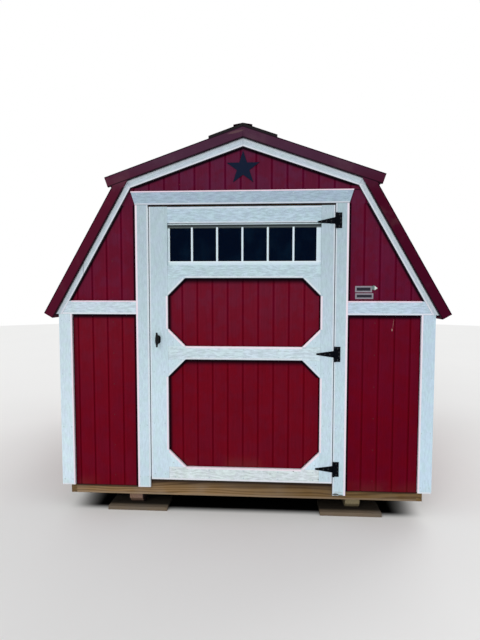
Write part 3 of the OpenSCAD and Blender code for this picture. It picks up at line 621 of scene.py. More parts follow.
@dataclass(frozen=True)
class Lumber(Finish):
    """Sawn wood with growth rings that run along it and show as arcs on its ends."""

    grain: Grain
    early: Colour = (0.60, 0.43, 0.24)
    late: Colour = (0.40, 0.25, 0.11)
    ring: float = 0.0065
    pith: Pair = (0.8, 0.6)
    weather: float = 0.0
    weather_colour: Colour = (0.16, 0.14, 0.12)
    knots: float = 2.6
    relief: float = 0.0010
    gain: tuple[Colour, Colour] | None = None
    gain_x: Pair = (-0.4, 0.6)
    # Painted shade on what lies under the barn, nearer the middle along Y than these distances.
    dark_y: Pair | None = None
    seams: tuple[Seam, ...] = ()

    def coated(self, coat: Coat) -> bpy.types.Material:
        """The material of the boards.

        Args:
            coat: The empty sheet of nodes that it is laid on.

        Returns:
            The material.
        """
        along, across, side = coat.run(self.grain)
        warp = coat.noise(coat.vector(across * 7.0, side * 7.0, along * 0.9), 1.0, 2.0, 0.55)
        phase = across * (self.pith[0] / self.ring) + side * (self.pith[1] / self.ring) + warp * 9.0
        rings = phase.math("SINE", phase * (2 * math.pi)) * 0.5 + 0.5
        fibres = coat.noise(coat.vector(across, side, along * 0.025), 420.0, 2.0, 0.6)
        patches = coat.noise(coat.place, 5.0, 3.0, 0.55)
        colour = coat.mix(rings.ramp(0.35, 1.0) * 0.75 + (fibres - 0.5) * 0.35, self.early, self.late)
        colour = coat.shade(colour, (fibres - 0.5) * 0.34 + (patches - 0.5) * 0.26 + 1.0)
        if self.knots:
            knot = coat.cells(coat.vector(across, side, along * 0.55), self.knots) + (fibres - 0.5) * 0.05
            colour = coat.mix(knot.ramp(0.045, 0.11, 0.8, 0.0), colour, tuple(part * 0.42 for part in self.late))
        if self.weather:
            colour = coat.mix(patches.ramp(0.35, 0.70, 0.0, self.weather), colour, self.weather_colour)
        if self.gain:
            colour = coat.tinged(colour, coat.mix(coat.x.ramp(*self.gain_x), *self.gain))
        # Painted shade: nearly black where it lies under the barn.
        if self.dark_y:
            colour = coat.mix(abs(coat.y).ramp(*self.dark_y, 0.90, 0.0), colour, (0.006, 0.005, 0.004))
        normal = coat.bump(fibres * 0.7 + rings * 0.3, self.relief)
        return coat.finish(coat.detailed(colour, self.seams), fibres * 0.16 + 0.66, normal, 0.14)


@dataclass(frozen=True)
class StrandBoard(Finish):
    """Sheathing pressed from flat wood strands that lie all ways."""

    pale: Colour = (0.56, 0.40, 0.21)
    dark: Colour = (0.27, 0.16, 0.07)
    layers: tuple[tuple[float, float, float], ...] = ((0.34, 1.0, 34.0), (1.0, 0.38, 40.0), (0.55, 0.75, 27.0))
    wear: float = 0.0
    # Painted shade on the front edge, in front of this place along Y, under the leaf.
    edge_y: float | None = None
    seams: tuple[Seam, ...] = ()

    def coated(self, coat: Coat) -> bpy.types.Material:
        """The material of the sheets.

        Args:
            coat: The empty sheet of nodes that it is laid on.

        Returns:
            The material.
        """
        strands = []
        for stretch_x, stretch_y, scale in self.layers:
            at = coat.vector(coat.x * stretch_x + coat.y * 0.21, coat.y * stretch_y - coat.x * 0.17, coat.z)
            strands.append(coat.node("ShaderNodeSeparateColor", None, {0: coat.cells(at, scale, "Color")}, "Red"))
        choice = coat.noise(coat.place, 21.0)
        tone = strands[0] + (strands[1] - strands[0]) * choice.ramp(0.42, 0.50)
        tone = tone + (strands[2] - tone) * choice.ramp(0.56, 0.62)
        fibres = coat.noise(coat.place, 260.0, 3.0, 0.65)
        colour = coat.shade(coat.mix(tone.ramp(0.0, 1.0), self.dark, self.pale), (fibres - 0.5) * 0.5 + 1.0)
        if self.wear:
            patches = coat.noise(coat.place, 2.4, 3.0)
            colour = coat.mix(patches.ramp(0.45, 0.7, 0.0, self.wear), colour, (0.20, 0.16, 0.12))
        # Painted shade on the front edge, under the leaf.
        if self.edge_y is not None:
            colour = coat.mix(coat.y.below(self.edge_y) * 0.94, colour, (0.012, 0.009, 0.006))
        normal = coat.bump(tone * 0.7 + fibres * 0.3, 0.0012)
        return coat.finish(coat.detailed(colour, self.seams), fibres * 0.2 + 0.62, normal, 0.16)


@dataclass(frozen=True)
class BlackCoat(Finish):
    """Textured black powder coat, a little dusty."""

    colour: Colour = (0.0013, 0.0020, 0.0042)
    gloss: float = 0.035

    def coated(self, coat: Coat) -> bpy.types.Material:
        """The material of the black metal.

        Args:
            coat: The empty sheet of nodes that it is laid on.

        Returns:
            The material.
        """
        dust = coat.noise(coat.place, 38.0, 3.0, 0.6)
        colour = coat.mix(dust.ramp(0.52, 0.80, 0.0, 0.12), self.colour, (0.030, 0.034, 0.038))
        return coat.finish(colour, dust * 0.2 + 0.40, coat.bump(coat.noise(coat.place, 900.0), 0.0003), self.gloss)


@dataclass(frozen=True)
class DarkPane(Finish):
    """Window glass with an unlit room behind it, faintly smeared with lighter patches that are partly painted
    reflection, under the shade of its frame.
    """

    colour: Colour = (0.0002, 0.0027, 0.0110)
    smear_colour: Colour = (0.0012, 0.0070, 0.0190)
    shade_z: float = 1.9235

    def coated(self, coat: Coat) -> bpy.types.Material:
        """The material of the panes.

        Args:
            coat: The empty sheet of nodes that it is laid on.

        Returns:
            The material.
        """
        smears_and_reflections = coat.noise(coat.vector(coat.x * 1.4, coat.y, coat.z * 0.9), 7.0, 3.0, 0.55)
        dust = coat.noise(coat.place, 210.0, 3.0)
        # Lighter patches: smears, partly painted faint reflection.
        colour = coat.mix(smears_and_reflections.ramp(0.42, 0.72), self.colour, self.smear_colour)
        colour = coat.mix(dust.ramp(0.58, 0.82, 0.0, 0.04), colour, (0.05, 0.06, 0.07))
        colour = coat.mix(coat.z.above(self.shade_z) * 0.9, colour, (0.080, 0.100, 0.100))
        return coat.finish(colour, smears_and_reflections * 0.10 + 0.06, coat.bump(smears_and_reflections, 0.0004), 0.012, alpha=0.97)


@dataclass(frozen=True)
class FoamStrip(Finish):
    """Closed-cell foam: matt, near black and pitted."""

    colour: Colour = (0.012, 0.011, 0.012)

    def coated(self, coat: Coat) -> bpy.types.Material:
        """The material of the strips.

        Args:
            coat: The empty sheet of nodes that it is laid on.

        Returns:
            The material.
        """
        cells = coat.cells(coat.place, 520.0)
        colour = coat.shade(self.colour, cells * 0.6 + coat.noise(coat.place, 24.0) * 0.8 + 0.3)
        return coat.finish(colour, cells * 0.1 + 0.82, coat.bump(cells, 0.0008), 0.12)


@dataclass(frozen=True)
class BarePlate(Finish):
    """A small bare plate: a bright rolled rim round a dark brushed field."""

    centre: Pair
    half: Pair
    rim: float = 0.010
    bright: Colour = (0.25, 0.235, 0.275)
    field_colour: Colour = (0.011, 0.010, 0.020)

    def coated(self, coat: Coat) -> bpy.types.Material:
        """The material of the plate.

        Args:
            coat: The empty sheet of nodes that it is laid on.

        Returns:
            The material.
        """
        brushing = coat.noise(coat.vector(coat.x * 0.06, coat.y, coat.z), 1300.0)
        stains = coat.noise(coat.place, 60.0, 3.0)
        side, up = (
            abs(at - middle) - (half - self.rim) for at, middle, half in zip((coat.x, coat.z), self.centre, self.half)
        )
        rim = side.highest(up).ramp(-0.0015, 0.0015)
        colour = coat.mix(rim, self.field_colour, self.bright)
        colour = coat.shade(colour, (brushing - 0.5) * 0.35 + (stains - 0.5) * 0.4 + 1.0)
        return coat.finish(colour, stains * 0.2 + 0.34, coat.bump(brushing, 0.0002), 0.2, rim * 0.2)


@dataclass(frozen=True)
class HeadCoat(Finish):
    """Paint or plating on nail or screw heads, with a tint that differs from head to head."""

    colour: Colour
    worn_colour: Colour
    wear: float = 0.35
    gloss: float = 0.2

    def coated(self, coat: Coat) -> bpy.types.Material:
        """The material of the heads.

        Args:
            coat: The empty sheet of nodes that it is laid on.

        Returns:
            The material.
        """
        heads = coat.noise(coat.place, 9.0, 1.0)
        chips = coat.noise(coat.place, 330.0)
        colour = coat.mix((chips + heads * 0.5).ramp(0.66, 0.92, 0.0, self.wear), self.colour, self.worn_colour)
        colour = coat.shade(colour, (heads - 0.5) * 0.4 + 1.0)
        return coat.finish(colour, chips * 0.2 + 0.42, coat.bump(chips, 0.0002), self.gloss)


@dataclass(frozen=True)
class Head:
    """The sizes of a nail or screw head and the washer under it, in metres."""

    head_r: float
    head_h: float
    crown: float
    washer_r: float
    washer_h: float
    sides: int


@dataclass(frozen=True)
class Fastener:
    """A kind of nail or screw: its head, its finish and the record's material slot."""

    head: Head
    coat: HeadCoat
    slot: str


WHITE_NAIL = Fastener(
    Head(0.0034, 0.0005, 0.7, 0.0040, 0.0003, 10),
    HeadCoat("nail_white", (0.50, 0.63, 0.70), (0.22, 0.22, 0.21)), "white_trim",
)
RED_NAIL = replace(
    WHITE_NAIL, coat=HeadCoat("nail_red", (0.11, 0.005, 0.014), (0.05, 0.02, 0.02)), slot="red_siding"
)
DECK_SCREW = Fastener(
    Head(0.0040, 0.0004, 0.85, 0.0044, 0.0003, 10),
    HeadCoat("screw_zinc", (0.30, 0.27, 0.20), (0.12, 0.09, 0.05), 0.4, 0.4), "framing_wood",
)
ROOF_SCREW = Fastener(
    Head(0.0046, 0.0048, 0.9, 0.0078, 0.0012, 6),
    HeadCoat("screw_roof", (0.085, 0.012, 0.024), (0.20, 0.19, 0.18), 0.4, 0.3), "roof_metal",
)
PAN_SCREW = Fastener(
    Head(0.0042, 0.0022, 0.55, 0.0047, 0.0006, 12),
    HeadCoat("screw_black", (0.010, 0.010, 0.012), (0.05, 0.05, 0.05), 0.3, 0.35), "black_metal",
)


def added(name: str, data: bpy.types.ID) -> bpy.types.Object:
    """Adds an object to the scene.

    Args:
        name: Its name.
        data: The mesh, lamp or camera that it holds.

    Returns:
        The object.
    """
    made = bpy.data.objects.new(name, data)
    bpy.context.scene.collection.objects.link(made)
    return made


class GeometryForm(NodeSheet):
    """A Geometry Nodes tree that is run once on a mesh, whose result is kept as a plain mesh."""

    def __init__(self, name: str, inputs: dict[str, str]) -> None:
        """Opens the tree with a mesh and some more inputs.

        Args:
            name: The tree's name.
            inputs: The kind of each further input, by its name.
        """
        super().__init__(bpy.data.node_groups.new(name, "GeometryNodeTree"))
        face = self.tree.interface
        face.new_socket("mesh", in_out="OUTPUT", socket_type="NodeSocketGeometry")
        self.idents = {
            key: face.new_socket(key, in_out="INPUT", socket_type="NodeSocket" + kind).identifier
            for key, kind in {"mesh": "Geometry", **inputs}.items()
        }
        opened = self.tree.nodes.new("NodeGroupInput")
        self.given = {socket.name: Wire(self, socket) for socket in opened.outputs if socket.name}

    def close(self, points: Wire, form: Wire, turned: Wire | None = None) -> None:
        """Sets a form on every point and ends the tree with the realized instances.

        Args:
            points: The points.
            form: What is set on each.
            turned: How each is turned, if it is.
        """
        values = {"Points": points, "Instance": form} | ({"Rotation": turned} if turned else {})
        copies = self.node("GeometryNodeInstanceOnPoints", None, values)
        self.node("NodeGroupOutput", None, {0: self.node("GeometryNodeRealizeInstances", None, {0: copies})})

    def run(self, name: str, seed: bpy.types.Mesh, values: dict[str, object]) -> bpy.types.Mesh:
        """Runs the tree on a mesh.

        Args:
            name: The result's name.
            seed: The mesh that it starts from.
            values: The tree's further inputs by name.

        Returns:
            The result, as a plain mesh.
        """
        carrier = added(name + "_seed", seed)
        modifier = carrier.modifiers.new("form", "NODES")
        modifier.node_group = self.tree
        for key, value in values.items():
            modifier[self.idents[key]] = value
        graph = bpy.context.evaluated_depsgraph_get()
        mesh = bpy.data.meshes.new_from_object(carrier.evaluated_get(graph), depsgraph=graph)
        bpy.data.objects.remove(carrier)
        mesh.materials.clear()  # the nodes leave an empty slot, which the faces would keep to
        mesh.name = name
        return mesh


class HeadForm(GeometryForm):
    """Sets a head and its washer on every vertex, along the vertex's own direction."""

    def __init__(self) -> None:
        """Builds the tree, whose inputs are named as the fields of a Head."""
        lengths = ("head_r", "head_h", "crown", "washer_r", "washer_h")
        super().__init__("Fasteners", {**dict.fromkeys(lengths, "Float"), "sides": "Int"})
        mesh, head_r, head_h, crown, washer_r, washer_h, sides = self.given.values()
        fill = {"fill_type": "NGON"}
        sizes = {"Vertices": 12, "Radius": washer_r, "Depth": washer_h}
        washer = self.raised(self.node("GeometryNodeMeshCylinder", fill, sizes), washer_h * 0.5)
        sizes = {"Vertices": sides, "Radius Top": head_r * crown, "Radius Bottom": head_r, "Depth": head_h}
        head = self.raised(self.node("GeometryNodeMeshCone", fill, sizes), washer_h)
        form = self.node("GeometryNodeJoinGeometry", None, {0: washer})
        self.tree.links.new(head.socket, form.socket.node.inputs[0])
        named = {"data_type": "FLOAT_VECTOR"}
        facing = self.node("GeometryNodeInputNamedAttribute", named, {"Name": "facing"}, "Attribute")
        aligned = self.node("FunctionNodeAlignRotationToVector", {"axis": "Z"}, {"Vector": facing})
        turn = self.node("FunctionNodeRandomValue", {"data_type": "FLOAT"}, {2: 0.0, 3: math.pi, "Seed": 7}, 1)
        spin = self.node("FunctionNodeAxisAngleToRotation", None, {"Axis": (0.0, 0.0, 1.0), "Angle": turn})
        turns = {"Rotation": aligned, "Rotate By": spin}
        self.close(mesh, form, self.node("FunctionNodeRotateRotation", {"rotation_space": "LOCAL"}, turns))

    def raised(self, shape: Wire, height: Wire) -> Wire:
        """A shape that is moved up."""
        return self.node("GeometryNodeTransform", None, {0: shape, "Translation": self.vector(0.0, 0.0, height)})


class RowForm(GeometryForm):
    """Repeats a mesh at even steps."""

    def __init__(self) -> None:
        """Builds the tree."""
        super().__init__("Row", {"Count": "Int", "Start Location": "Vector", "Offset": "Vector"})
        mesh, *line = self.given.values()
        values = dict(zip(("Count", "Start Location", "Offset"), line))
        self.close(self.node("GeometryNodeMeshLine", {"mode": "OFFSET", "count_mode": "TOTAL"}, values), mesh)


def stacked(name: str, loops: Sequence[Sequence[Point]]) -> bpy.types.Mesh:
    """A closed mesh through loops of equal length, with its first and last loop filled.

    Args:
        name: The mesh's name.
        loops: The loops in order.

    Returns:
        The mesh, with its faces turned outwards.
    """
    made = bmesh.new()
    rings = [[made.verts.new(point) for point in loop] for loop in loops]
    made.faces.new(rings[0])
    made.faces.new(rings[-1])
    for low, high in zip(rings, rings[1:]):
        for i, corner in enumerate(low):
            j = (i + 1) % len(low)
            made.faces.new((corner, low[j], high[j], high[i]))
    bmesh.ops.recalc_face_normals(made, faces=made.faces[:])
    return as_mesh(made, name)


def as_mesh(made: bmesh.types.BMesh, name: str) -> bpy.types.Mesh:
    """Ends a shape that was being made.

    Args:
        made: The shape, which is freed.
        name: The mesh's name.

    Returns:
        The mesh.
    """
    mesh = bpy.data.meshes.new(name)
    made.to_mesh(mesh)
    made.free()
    return mesh


def even(start: float, end: float, count: int) -> list[float]:
    """Places at even steps from start to end, both included."""
    return [start + (end - start) * i / (count - 1) for i in range(count)]


def both(off: float) -> Pair:
    """A distance to either side."""
    return -off, off


def grid(xs: Iterable[float], zs: Sequence[float], off: float = WALL.board_y, facing: Point = FRONT) -> list[Spot]:
    """Spots at every x and every z on a face that lies off the middle, towards the side that it faces."""
    return [((x, facing[1] * off, z), facing) for x in xs for z in zs]


def side_grid(side: int, off: float, ys: Iterable[float], zs: Sequence[float]) -> list[Spot]:
    """Spots at every y and every z on a side wall's face that lies off the middle."""
    return [((side * off, y, z), (float(side), 0.0, 0.0)) for y in ys for z in zs]


def paint(finish: Finish, *nodes: str) -> None:
    """Gives CAD nodes a finish.

    Args:
        finish: The finish.
        nodes: The nodes' names.
    """
    for name in nodes:
        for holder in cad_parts[name].material_slots:
            holder.material = finish.build()
        LOG.info("%s: %s", name, finish.name)


def add_piece(mesh: bpy.types.Mesh, finish: Finish, body: Body) -> None:
    """Adds a finished mesh as a piece that rides on its body.

    Args:
        mesh: The mesh, in place, with the piece's name.
        finish: Its finish.
        body: The body that it moves with.
    """
    mesh.materials.append(finish.build())
    piece = added(mesh.name, mesh)
    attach(piece, body.value)
    LOG.info("%s: %d faces on %s", piece.name, len(mesh.polygons), body.value)


@dataclass
class Workshop:
    """What the sub-assemblies share: the Geometry Nodes trees that repeat things."""

    heads: HeadForm = field(default_factory=HeadForm)
    rows: RowForm = field(default_factory=RowForm)

    def drive(self, name: str, spots: Sequence[Spot], kind: Fastener, body: Body = Body.ROOT) -> None:
        """Sets fasteners as one piece.

        Args:
            name: The name of the piece.
            spots: Each place and the direction that its head faces.
            kind: The fastener.
            body: The body that they move with.
        """
        seed = bpy.data.meshes.new(name + "_spots")
        seed.from_pydata([place for place, _ in spots], [], [])
        facing = seed.attributes.new("facing", "FLOAT_VECTOR", "POINT")
        facing.data.foreach_set("vector", [part for _, out in spots for part in out])
        add_piece(self.heads.run(name, seed, asdict(kind.head)), kind.coat, body)


@dataclass
class Floor:
    """Pads, skids, rims, joists and deck."""

    shop: Workshop
    deck_top: float = 0.219
    joist_y: float = 1.505
    joists: int = 8
    columns: int = 8
    reach: float = 1.12
    rim_z: Pair = (0.105, 0.203)
    # The deck's front edge gets painted shade in front of this place.
    deck_edge_y: float = -1.5236

    def build(self) -> None:
        """Dresses the floor and screws its deck down."""
        (left, right), (low, high), under = WALL.jambs_out, self.rim_z, WALL.foot_z - 0.005
        # On the rim: a paler line along the lower edge, painted shadow under the leaf and under the siding, and painted
        # shade at both ends.
        edges = (
            level(low + 0.005, 0.010, (0.30, 0.225, 0.15), 0.55),
            level(high, 0.055, SHADOW, 0.72, span=(left, right), core=0.0),
            level(high, 0.010, SHADOW, 0.55, span=(left, right)),
            level(under, 0.018, SHADOW, 0.70, span=(-2.0, left), core=0.22),
            level(under, 0.012, SHADOW, 0.55, span=(right, 2.0), core=0.22),
            upright(-1.215, 0.040, SHADOW, 0.80), upright(1.215, 0.030, SHADOW, 0.60),
        )
        side_rim = Lumber("treated_side_rim", Grain.DEEP, (0.178, 0.106, 0.040), (0.078, 0.041, 0.013), 0.026,
                          (0.25, 1.0), 0.25, (0.17, 0.15, 0.12), 3.1)
        paint(side_rim, "side_rims")
        paint(replace(side_rim, name="treated_rim", grain=Grain.LEVEL, pith=(1.0, 0.25),
                      gain=((1.62, 1.68, 2.0), (1.0, 1.0, 1.0)), seams=edges), "floor_joists")
        # Painted shade on the skids' lower part and by the left skid's inner edge.
        shades = (level(0.030, 0.016, SHADOW, 0.75), upright(-0.661, 0.042, SHADOW, 0.92, core=0.90))
        paint(Lumber("treated_skid", Grain.DEEP, (0.165, 0.135, 0.078), (0.108, 0.082, 0.044), 0.010, (0.9, 0.5), 0.4,
                     (0.13, 0.11, 0.085), 0.0, gain=((1.45, 1.12, 1.35), (1.40, 1.45, 1.45)), seams=shades), "skids")
        paint(Lumber("weathered_pad", Grain.LEVEL, (0.19, 0.145, 0.10), (0.12, 0.085, 0.055), 0.008, (0.9, 0.5), 0.75,
                     (0.15, 0.125, 0.10), 0.0, dark_y=(1.49, 1.535)), "ground_pads")
        paint(StrandBoard("floor_strands", wear=0.5, edge_y=self.deck_edge_y), "floor_deck")
        xs, ys = even(*both(self.reach), self.columns), even(*both(self.joist_y), self.joists)
        self.shop.drive("deck_screws", [((x, y, self.deck_top), (0.0, 0.0, 1.0)) for y in ys for x in xs], DECK_SCREW)


@dataclass
class WallFrame:
    """Plates, studs and the header over the doorway."""

    def build(self) -> None:
        """Dresses the framing of the walls."""
        paint(Lumber("studs", Grain.UPRIGHT), "side_studs", "end_studs")
        paint(Lumber("side_plates", Grain.DEEP), "side_plates")
        paint(Lumber("end_plates", Grain.LEVEL), "end_plates", "door_header")


@dataclass
class RoofFrame:
    """Rafters, gussets and the roof's sheathing."""

    shop: Workshop
    frames: int = 6
    first_y: float = -1.505
    pitch_y: float = 0.602
    gusset_face: float = 0.031
    deck_ends: Pair = (1.0735, 0.9656)
    deck_edge_half: float = 0.030
    knuckle_nails: tuple[tuple[float, ...], ...] = ((0.08, 0.15, 0.21), (0.66, 0.73, 0.79))
    knuckle_depths: Pair = (0.040, 0.085)
    ridge_nails: tuple[float, ...] = (0.05, 0.12, 0.20)
    ridge_depth: float = 0.065

    def build(self) -> None:
        """Dresses the roof's structure and nails its gussets."""
        paint(Lumber("rafters", Grain.SLOPES), "lower_rafters", "upper_rafters")
        slopes = (True, False)
        edges = tuple(ROOF.eave(upper, self.deck_ends[upper], self.deck_edge_half, ROOF_RED) for upper in slopes)
        paint(StrandBoard("roof_strands", seams=edges), "roof_deck")
        paint(StrandBoard("gusset_strands"), "roof_gussets")
        places = [
            (upper, along, depth)
            for upper in slopes for along in self.knuckle_nails[upper] for depth in self.knuckle_depths
        ]
        places += [(True, along, self.ridge_depth) for along in self.ridge_nails]
        ys = [self.first_y + i * self.pitch_y + self.gusset_face for i in range(1, self.frames - 1)]
        spots = [ROOF.spot(side, *place, y, BACK) for y in ys for side in SIDES for place in places]
        self.shop.drive("gusset_nails", spots, DECK_SCREW)


@dataclass
class Siding:
    """The grooved red sheets of the walls and gables, and the soffits."""

    shop: Workshop
    side_x: float = 1.230
    side_painted_from: float = 1.2225
    crimson: Colour = (0.141, 0.0026, 0.0127)
    # Painted light: the purpler reds stand for painted sky reflection higher up and on the gable, the darker ones for
    # painted shade on the right-hand side.
    plum: Colour = (0.1165, 0.0073, 0.0255)
    deep_crimson: Colour = (0.1213, 0.0010, 0.0098)
    deep_plum: Colour = (0.1088, 0.0057, 0.0255)
    dusk: Colour = (0.099, 0.0111, 0.0352)
    grooves: Pair = (-1.020, 0.790)
    stud_x: Pair = (-0.881, 0.866)
    back_stud_x: tuple[float, ...] = (-1.111, -0.556, 0.0, 0.556, 1.111)
    side_stud_y: tuple[float, ...] = (-0.903, -0.301, 0.301, 0.903)
    wall_nails: Row = (0.24, 1.30, 6)
    shoulder_nails: Row = (1.50, 1.92, 3)
    back_gable_nails: Row = (1.50, 2.12, 4)
    side_nails: Row = (0.24, 1.28, 6)
    gable_nail_x: Pair = (-0.42, 0.38)
    gable_nail_z: Pair = (2.21, 2.30)

    def build(self) -> None:
        """Paints the sheets and nails them."""
        # Painted shadow beside the jambs and the corner boards, under and over the band boards, at the foot of the
        # sheets and under the gable boards.
        jambs = (
            upright(WALL.jambs_out[0] - 0.010, 0.012, strength=0.93, core=0.6),
            upright(WALL.jambs_out[1] + 0.0075, 0.0105, strength=0.93, core=0.6),
        )
        corners = (
            upright(-WALL.corner_in + 0.005, 0.042, strength=0.30, core=0.1),
            upright(WALL.corner_in, 0.0075, mirrored=True),
        )
        under_band = level(WALL.band_z[0] - 0.001, 0.038, strength=0.95, core=0.32)
        over_band = level(WALL.band_z[1], 0.005)
        foot = level(WALL.foot_z, 0.006, strength=0.7)
        roof = (
            ROOF.seam(False, 0.002, 0.0175, strength=0.93, core=0.25),
            ROOF.seam(True, 0.002, 0.0200, strength=0.95, core=0.35),
        )
        scrape = (
            Mark(0.984, 1.296, 0.0017, 0.030, (0.42, 0.26, 0.22), 0.35, 0.10),
            Mark(0.977, 1.256, 0.0042, 0.009, (0.55, 0.36, 0.30), 0.45),
        )
        low, high, dusk = self.crimson, self.plum, self.dusk
        sheets = {
            "front_wall_siding": SidingPaint(
                "siding_front", low, (0.142, 0.0060, 0.0170), (0.6, 1.35), *self.grooves,
                (self.deep_crimson, (0.1165, 0.0030, 0.0155)), seams=(*jambs, *corners, under_band, foot),
                marks=scrape,
            ),
            "front_shoulder_siding": SidingPaint(
                "siding_shoulder", (0.1250, 0.0070, 0.0245), dusk, (1.45, 2.4), *self.grooves, (self.deep_plum, dusk),
                seams=(*jambs, over_band, *roof),
            ),
            "front_gable_siding": SidingPaint(
                "siding_gable", dusk, dusk, (2.1, 2.5), -0.015, seams=(level(WALL.head_z[1], 0.004), roof[1])
            ),
            "back_wall_siding": SidingPaint(
                "siding_back", low, high, (0.9, 2.0), 0.0, seams=(*corners, under_band, foot)
            ),
            "back_gable_siding": SidingPaint("siding_back_gable", low, high, (1.3, 2.3), 0.0, seams=(over_band, *roof)),
            "side_siding": SidingPaint(
                "siding_side", low, high, (0.6, 1.6), 0.0508, wall=Wall.SIDE, painted_from=self.side_painted_from,
                seams=(foot,),
            ),
            "soffits": TrimPaint("soffit_paint", Grain.DEEP, (0.115, 0.008, 0.022), 0.0008, gloss=0.06),
        }
        for node, finish in sheets.items():
            paint(finish, node)
        self.shop.drive("siding_nails", self.nail_spots(), RED_NAIL)

    def nail_spots(self) -> list[Spot]:
        """Finds where the siding is nailed to the studs.

        Returns:
            The spots, wall by wall.
        """
        wall, off = even(*self.wall_nails), WALL.siding_y
        spots = grid(self.stud_x, wall, off) + grid(self.stud_x, even(*self.shoulder_nails), off)
        spots += grid(self.gable_nail_x, self.gable_nail_z, off)
        for x in self.back_stud_x:
            outermost = abs(x) == max(self.back_stud_x)
            spots += grid((x,), wall + ([] if outermost else even(*self.back_gable_nails)), off, BACK)
        for side in SIDES:
            spots += side_grid(side, self.side_x, self.side_stud_y, even(*self.side_nails))
        return spots


@dataclass
class Roofing:
    """Ribbed sheets, ridge cap, foam closures, fascias and rake trim."""

    shop: Workshop
    ribs: int = 14
    rib_pitch: float = 0.229
    lap_off: float = 0.0235
    lap_ribs: tuple[int, ...] = (4, 8, 12)
    screw_off: float = 0.043
    sheet_depth: float = 0.0017
    cap_depth: float = -0.0157
    cap_edge: float = 0.208
    rake_y: float = 1.546
    rows: tuple[tuple[float, ...], ...] = ((0.075, 0.39, 0.71, 1.035), (0.34, 0.63, 0.925))
    rake_rows: tuple[Row, Row] = ((0.07, 1.04, 5), (0.30, 0.94, 4))

    def build(self) -> None:
        """Dresses the roofing and drives its screws."""
        ribs = [(i - (self.ribs - 1) / 2) * self.rib_pitch for i in range(self.ribs)]
        # A pale dot on the right-hand rake, and a paler brownish patch near the peak on the left.
        pale_marks = (
            Mark(1.182, 1.467, 0.006, 0.006, (0.40, 0.36, 0.38), 0.85),
            Mark(-0.046, 2.531, 0.030, 0.014, (0.15, 0.085, 0.085), 0.50, 2.9),
        )
        # Painted shadow lines along the rake trim's outer edge and its lower edge.
        outlines = tuple(
            ROOF.seam(upper, inside - ROOF.board[upper], half, SHADOW, strength)
            for upper in (True, False) for inside, half, strength in ((0.003, 0.0050, 0.80), (0.0645, 0.0045, 0.75))
        )
        paint(SheetMetalPaint("roof_sheets", laps=tuple(ribs[i] + self.lap_off for i in self.lap_ribs)), "roofing")
        paint(SheetMetalPaint("ridge_metal", wave=0.0012), "ridge_cap")
        # The rake trim is purpler higher up and darker on the right-hand side as painted shade.
        paint(SheetMetalPaint("rake_metal", (0.0770, 0.0045, 0.0190), (0.0614, 0.0197, 0.0431), (2.1, 2.4),
                              (0.0534, 0.0012, 0.0125), wave=0.0008, gloss=0.03, seams=outlines, marks=pale_marks),
              "rake_trims")
        paint(TrimPaint("rake_board_paint", Grain.SLOPES, ROOF_RED, 0.0008, gloss=0.06), "rake_boards")
        paint(TrimPaint("fascia_paint", Grain.DEEP, ROOF_RED, 0.0008, gloss=0.06), "roof_fascias")
        paint(FoamStrip("closure_foam"), "ridge_closures")
        screws = [y + self.screw_off for y in ribs[:-1]] + [ribs[-1] - self.screw_off]
        spots = []
        for side in SIDES:
            for upper in (True, False):
                spots += [ROOF.spot(side, upper, row, self.sheet_depth, y) for y in screws for row in self.rows[upper]]
            spots += [ROOF.spot(side, True, self.cap_edge, self.cap_depth, y) for y in ribs]
            for end in SIDES:
                for upper in (True, False):
                    rows = even(*self.rake_rows[upper])
                    spots += [ROOF.spot(side, upper, row, 0.0, end * self.rake_y) for row in rows]
        self.shop.drive("roof_screws", spots, ROOF_SCREW)


